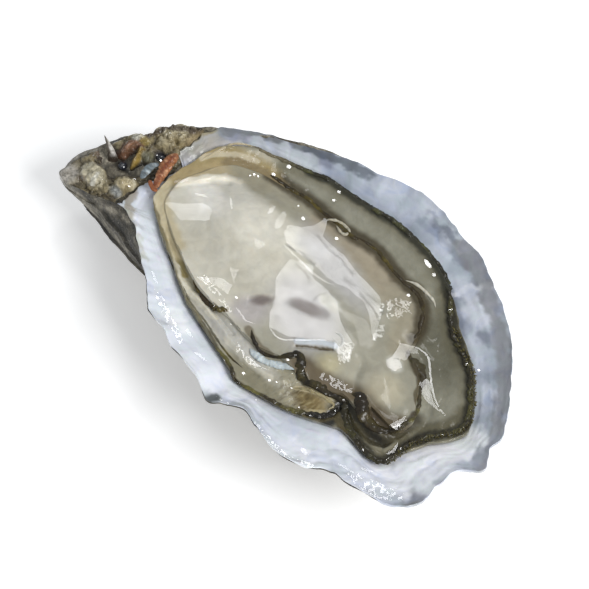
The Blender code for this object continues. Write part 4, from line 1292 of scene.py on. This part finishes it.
def film(name, outline, gleam, dim_lines=(), wave=0.012, crinkle=2.2, lift=0.1, bed=ground):
    """A patch of liquor inside an outline on the 20 mm level, as a thin closed skin on the flesh. Its gleam
    is the share of it that shines, less along dim lines, and it lies nearly level, waved and crinkled."""
    corners = np.array([*outline, outline[0]], float)
    girth = lengths(corners)[-1]
    ring = evened(corners, max(20, int(girth / FILM_EDGE_STEP)), False)
    rough = [uneven(ring[:, 0], ring[:, 1], 1.5, 3, seed) for seed in (149.0, 151.0)]
    ring += 0.12 * np.stack(rough, -1) * min(1.0, girth / 12.0)
    low, high = ring.min(0), ring.max(0)
    grid = np.stack(np.meshgrid(
        np.arange(low[0], high[0], FILM_STEP), np.arange(low[1], high[1], FILM_STEP)
    ), -1).reshape(-1, 2)
    grid = grid[within(ring, grid[:, 0], grid[:, 1])]
    edges = [(i, (i + 1) % len(ring)) for i in range(len(ring))]
    spots = [Vector(spot) for spot in ring.tolist() + grid.tolist()]
    spots, _, faces, *_ = geometry.delaunay_2d_cdt(spots, edges, [], 0, 1e-5)
    spots = np.array([tuple(spot) for spot in spots])
    middles = spots[np.array(faces)].mean(1)
    faces = [face for face, kept in zip(faces, within(ring, middles[:, 0], middles[:, 1])) if kept]
    gone = distance(np.concatenate([ring, ring[:1]]), spots[:, 0], spots[:, 1])
    top = bed.under(spots)
    top[:, 2] += FILM_CLEARANCE + lift * eased(gone / 0.5)
    count = len(top)
    verts = np.concatenate([top, top - FILM_DEPTH * UP])
    sides = {}
    for face in faces:
        for a, b in zip(face, (*face[1:], face[0])):
            sides[(a, b)] = sides.get((b, a), 0) + 1
    skin = [list(face) for face in faces] + [[i + count for i in face[::-1]] for face in faces]
    skin += [[b, a, a + count, b + count] for (a, b) in sides if (b, a) not in sides]
    patch = skinned(name, verts, skin)
    place = at_level(verts[:, 0], verts[:, 1])
    lie = np.stack([
        LEVEL_LIE[0] + wave * fractal(place, crinkle, 3, 151.0),
        LEVEL_LIE[1] + wave * fractal(place, crinkle, 3, 157.0),
        np.full(2 * count, LEVEL_LIE[2]),
    ], -1)
    shine = np.full(2 * count, gleam) * (1.0 + 0.5 * fractal(place, 3.0, 3, 163.0))
    for path, width, soft in dim_lines:
        near = distance(path, *on_level(verts))
        shine *= 1.0 - 0.85 * eased((width * (1.0 + soft) - near) / (2.0 * soft * width))
    shine[count:] = 0.0
    attributes = patch.data.attributes
    attributes.new("lie", "FLOAT_VECTOR", "POINT").data.foreach_set("vector", lie.ravel())
    attributes.new("gleam", "FLOAT", "POINT").data.foreach_set("value", np.clip(shine, 0.0, 1.0))
    finished(patch, liquor_finish, "animal")


UPPER_GLEAM = [
    (-9, 13.3), (-8.3, 13.3), (-7.6, 12.2), (-6.8, 11), (-6, 10), (-3, 10.1), (0, 10.3), (4, 9.6),
    (8, 9.4), (11, 9.3), (13, 8), (14.3, 6.8), (15.8, 4.6), (17, 2.8), (18, 2.2), (17.5, 1.9), (14.5, 4),
    (12, 5.5), (10, 6.3), (8, 5.9), (6, 6), (4.5, 5.4), (2, 4.6), (-2.5, 4.8), (-5.5, 4.2), (-9, 3.8),
    (-11.5, 5.2), (-12.2, 7), (-10, 8.7), (-9, 10.5),
]
LOWER_GLEAM = [
    (-6, 1.9), (-4.5, 3.3), (-2, 4.5), (-1, 3.4), (0, 2.6), (3, 2.8), (7, 2.5), (10, 0.5), (12, -0.4),
    (15, -1), (16.5, -2.5), (18, -4), (18, -4.6), (16, -4.7), (14.5, -4.7), (13, -3.5), (11.5, -5),
    (9.5, -7), (7.5, -9), (6, -9.7), (3, -10.5), (1, -8.5), (-1.2, -5.5), (-4.2, -3), (-5.2, -0.5),
]
film("upper_gleam", UPPER_GLEAM, 0.032, [
    ([(-7, 9.5), (-3, 9), (0, 9.3), (4, 8.7)], 0.2, 0.5), ([(8, 6.8), (12, 6.6), (14, 6)], 0.2, 0.5),
    ([(12, 8.8), (14, 7)], 0.2, 0.5), ([(4, 6.8), (6, 7.2)], 0.5, 0.8), ([(9, 7.8), (12, 8.2)], 0.3, 0.9),
])
film("lower_gleam", LOWER_GLEAM, 0.034, [
    ([(2.4, -3.4), (5.0, -2.2), (7.0, -1.5)], 1.5, 0.35), ([(3.8, -0.5), (3.6, 1), (4, 2)], 0.25, 0.8),
    ([(-4.4, 2.0), (-2, 2.4), (0, 1.8)], 0.2, 0.8), ([(5, 1.4), (7.6, 1.2)], 0.9, 0.5),
])
film("dome_gleam", [
    (-31, -7), (-28.5, -5), (-26.5, -2.2), (-25, -1.7), (-23.8, -2), (-22.5, -3.8), (-24, -5.5),
    (-26, -7.8), (-28.5, -7.5), (-31, -7.6),
], 0.034)
film("near_gleam", [
    (-14, -13.6), (-10.8, -10.2), (-8.4, -9.8), (-7.2, -11.7), (-10, -12.1), (-11.3, -13.2), (-14, -13.8),
], 0.03)
film("near_spot_gleam", [(-11.7, -7.6), (-10.3, -6.8), (-9, -8.6), (-8, -9.5), (-10, -8.6)], 0.026)
film("lobe_gleam", [
    (21.3, 5.3), (23.8, 6.8), (25.3, 6.5), (24, 5.3), (24.8, 3.6), (22.5, 2.3),
], 0.04)
film("comma_gleam", [
    (29.8, 4), (31.3, 3.9), (33, 2.6), (35, 1.5), (37.5, 1.1), (34, 0.7), (31.5, 1.2), (30, 2.3),
], 0.04, lift=0.45)
film("tip_gleam", [(33.6, -4), (34.2, -5), (34.9, -7.5), (33.9, -8.3), (33.2, -7.6), (33.5, -5.5)], 0.055)
film("blob_gleam", [(22.4, 2.2), (24.0, 2.8), (25.4, 2.2), (25.2, 0.6), (23.4, 0.2), (22.4, 1.0)], 0.035)
CRINKLES = [
    [
        (12.0, 8.0), (12.6, 8.8), (12.3, 10.0), (13.2, 10.4), (13.3, 12.0), (14.4, 11.8), (15.7, 13.0),
        (16.2, 12.0), (17.6, 11.4), (16.6, 10.4), (17.4, 8.9), (16.0, 8.4), (15.8, 6.9), (14.6, 7.7),
        (13.6, 7.0),
    ],
    [(15.8, -1.0), (17, -2.6), (18.4, -4.4), (17.6, -6), (15.6, -5.2), (14.2, -3.4), (14.6, -1.8)],
    [(17.6, 1.9), (18.2, 4), (16.6, 6.2), (15.8, 5.0), (16.4, 3)],
    [(17, -9.4), (20, -8.4), (23.4, -7.4), (23.6, -8.6), (20.6, -10.2), (17.4, -10.8)],
    [(-13.4, -12), (-9, -12.6), (-4, -13.4), (-3.6, -14), (-9, -13.8), (-13.6, -13.2)],
    [(2, -17.2), (5, -17.6), (9, -17.2), (10.4, -16.4), (8, -18.6), (3.4, -18.6)],
    [
        (8.6, -27.6), (13, -25.8), (20, -25.4), (26, -25.6), (31, -23.2), (31, -24), (26, -26.6),
        (18, -26.4), (12, -26.8),
    ],
    [(36, -20.4), (41, -20.2), (45, -18.2), (46.6, -15), (44, -15.4), (40, -17.6), (36, -19)],
    [(-16, -20.8), (-10, -22.6), (-4, -24.4), (-4.4, -25.4), (-11, -23.8), (-17, -21.6)],
]
for number, outline in enumerate(CRINKLES):
    film(f"crinkled_gleam_{number}", outline, 0.05, wave=0.18, crinkle=0.8)
# A streak is its path, its width and its gleam.
STREAKS = [
    ([(-29.3, -1.9), (-26.8, -0.5)], 0.5, 0.03), ([(-24.2, 2.8), (-21.8, 1.2)], 0.5, 0.03),
    ([(-33.8, -3.2), (-32.5, -0.7)], 0.9, 0.02), ([(-31.5, 0), (-29.2, 4.4)], 0.5, 0.02),
    ([(-17.2, 7.8), (-16.6, 5.6)], 0.9, 0.025), ([(-15, 8.3), (-12.9, 4.6)], 1.4, 0.025),
    ([(-9, 3.2), (-6, 3.3), (0.5, 3.4), (4, 4.5)], 0.5, 0.03),
    ([(3, -10.6), (6, -10.8), (8, -9.3), (11, -5.6), (13, -4)], 0.35, 0.05),
    ([(21.3, 5.3), (24, 7), (26, 7.4), (28, 6.6), (30, 5), (33, 3), (36, 1.6), (38.3, 1.2)], 0.4, 0.06),
    ([(37, -9), (37.8, -10.5), (37.6, -12)], 0.6, 0.05), ([(26.2, -9.3), (28.2, -9.7)], 0.4, 0.05),
    ([(-4, -12.4), (-1, -12.9), (1, -12.2)], 0.4, 0.03), ([(6, -16.2), (9, -15.6), (12, -13.9)], 0.4, 0.05),
    ([(39.4, 7.6), (41.8, 7.9)], 0.6, 0.09), ([(10.1, 21.2), (12.3, 20.8)], 0.8, 0.12),
    ([(33.6, -8.4), (34.3, -6.4), (34.4, -4.6)], 0.5, 0.06),
    ([(-6.4, -22.4), (-4, -22.8)], 0.6, 0.03), ([(-1.4, -24.4), (1.6, -24)], 0.5, 0.03),
    ([(26.8, -22.8), (28.6, -22.9)], 0.8, 0.035), ([(33.4, -19.9), (36, -19.2)], 0.5, 0.03),
    ([(36.8, -17.4), (38.8, -16.4)], 0.6, 0.03), ([(-20.4, -19.2), (-17.4, -20.2)], 0.5, 0.03),
    ([(12.0, -13.2), (14.0, -14.0)], 0.35, 0.05), ([(17.0, -12.2), (19.6, -11.4)], 0.3, 0.05),
]
for number, (path, width, gleam) in enumerate(STREAKS):
    film(f"streak_gleam_{number}", ribbon(path, width), gleam)
wet_edges = Ground([mantle, *edges])
GLINTS = [
    (10.9, -10.9), (14.4, -12.0), (18.8, -12.4), (23.9, -10.5), (25.2, -7.7), (27.8, -9.3), (31.0, -9.9),
    (34.6, -6.4), (24.8, -13.2), (22.6, -17.2), (16.6, -20.3), (9.0, -22.5), (38.3, -9.4), (38.4, -12.6),
    (34.2, -14.7), (40.9, -1.8), (42.0, 2.0), (40.2, 5.6), (32.4, 11.6), (21.6, 17.4), (-7.0, -15.2),
    (-4.6, -14.2),
]
for number, (x, y) in enumerate(GLINTS):
    turn = 2.4 * math.sin(7.3 * number)
    dx, dy = (0.2 + 0.35 * math.sin(3.1 * number) ** 2) * np.array([math.cos(turn), math.sin(turn)])
    thin = 0.12 + 0.1 * math.cos(2.3 * number) ** 2
    film(f"glint_{number}", ribbon([(x - dx, y - dy), (x + dx, y + dy)], thin),
         0.03 + 0.1 * math.sin(5.7 * number) ** 2, bed=wet_edges)
BUBBLES = [
    (-22.7, 15.8, 0.5), (-23.2, 12.4, 0.42), (-25.5, 9.6, 0.3), (-24.7, 9.9, 0.22), (-25.8, 8.8, 0.22),
    (-11.6, 10, 0.42), (-12.1, 19.2, 0.38), (-11.2, 17.2, 0.34), (-14.5, 11.2, 0.2), (-4.1, 11.8, 0.35),
    (13.8, 20.2, 0.4), (14.2, 13.5, 0.35), (34.9, 12.4, 0.3), (-1.8, -15.4, 0.25), (8.0, -20.6, 0.3),
    (3.6, -21.2, 0.3), (10.9, -12.6, 0.3), (12.2, -18.0, 0.25), (-5.7, -11.0, 0.25),
    (-43.3, -8.3, 0.3), (-39.6, -1.9, 0.3), (-46.1, -15.9, 0.3), (-44.6, -9.9, 0.25), (-47.0, -14.2, 0.18),
    (-46.3, -1.1, 0.2), (-41.0, -1.7, 0.16), (-39.3, -8.4, 0.2), (-38.6, -10.3, 0.2), (-43.4, 3.7, 0.16),
    (-40.2, 2.0, 0.16), (-43.3, -13.2, 0.16), (-34.1, -9.0, 0.16), (-6.2, -19.7, 0.14), (2.1, -21.7, 0.16),
    (6.0, -22.1, 0.2), (13.3, -17.3, 0.2), (16.0, -16.0, 0.16), (13.9, -22.5, 0.16), (20.0, -17.6, 0.14),
]
for number, (x, y, radius) in enumerate(BUBBLES):
    turn = circle(10)
    outline = np.stack([x + radius * np.cos(turn), y + 0.8 * radius * np.sin(turn)], -1)
    film(f"bubble_{number}", outline, 0.16)

# The floor, the lights and the camera: a plain white table, a large soft window to the right, a smaller
# one overhead that shines in the liquor, and the camera above the lip end.

bpy.ops.mesh.primitive_plane_add(size=6.0)
floor = bpy.context.object
floor.name = "floor"
floor_finish = Finish("plain_white_table", {
    "Base Color": (0.95, 0.95, 0.95, 1.0), "Roughness": 0.9, "Specular IOR Level": 0.0,
    "Emission Color": (1.0, 1.0, 1.0, 1.0), "Emission Strength": 0.33,
})
floor.data.materials.append(floor_finish.material)

world = bpy.data.worlds.new("studio")
bpy.context.scene.world = world
world.use_nodes = True
sky = world.node_tree.nodes["Background"]
Nodes(world.node_tree).feed(sky, {"Color": (0.94, 0.97, 1.0, 1.0), "Strength": 0.43})

MIDDLE = Vector((0.00169, -0.0033, 0.022))


def direction(azimuth, elevation):
    """The way toward an elevation and an azimuth, counted in degrees from the near side to the lip."""
    a, e = math.radians(azimuth), math.radians(elevation)
    return Vector((math.sin(a) * math.cos(e), -math.cos(a) * math.cos(e), math.sin(e)))


def window(name, azimuth, elevation, away, width, power):
    """A glowing square that faces the oyster."""
    light = bpy.data.lights.new(name, "AREA")
    light.size = width
    light.energy = power
    lamp = linked(name, light)
    lamp.location = MIDDLE + direction(azimuth, elevation) * away
    lamp.rotation_euler = (lamp.location - MIDDLE).to_track_quat("Z", "Y").to_euler()


window("window", 95.0, 42.0, 0.9, 0.4, 6.8)
window("overhead_window", 208.0, 65.0, 0.9, 0.19, 0.75)

CAMERA_AZIMUTH, CAMERA_ELEVATION = 50.0, 55.0
CAMERA_AWAY = 0.5378
camera_data = bpy.data.cameras.new("camera")
camera_data.lens = 180.0
camera_data.sensor_width = 36.0
camera_data.clip_start = 0.01
camera = linked("camera", camera_data)
camera.location = MIDDLE + direction(CAMERA_AZIMUTH, CAMERA_ELEVATION) * CAMERA_AWAY
camera.rotation_euler = (camera.location - MIDDLE).to_track_quat("Z", "Y").to_euler()
bpy.context.scene.camera = camera
bpy.context.scene.view_settings.view_transform = "Standard"
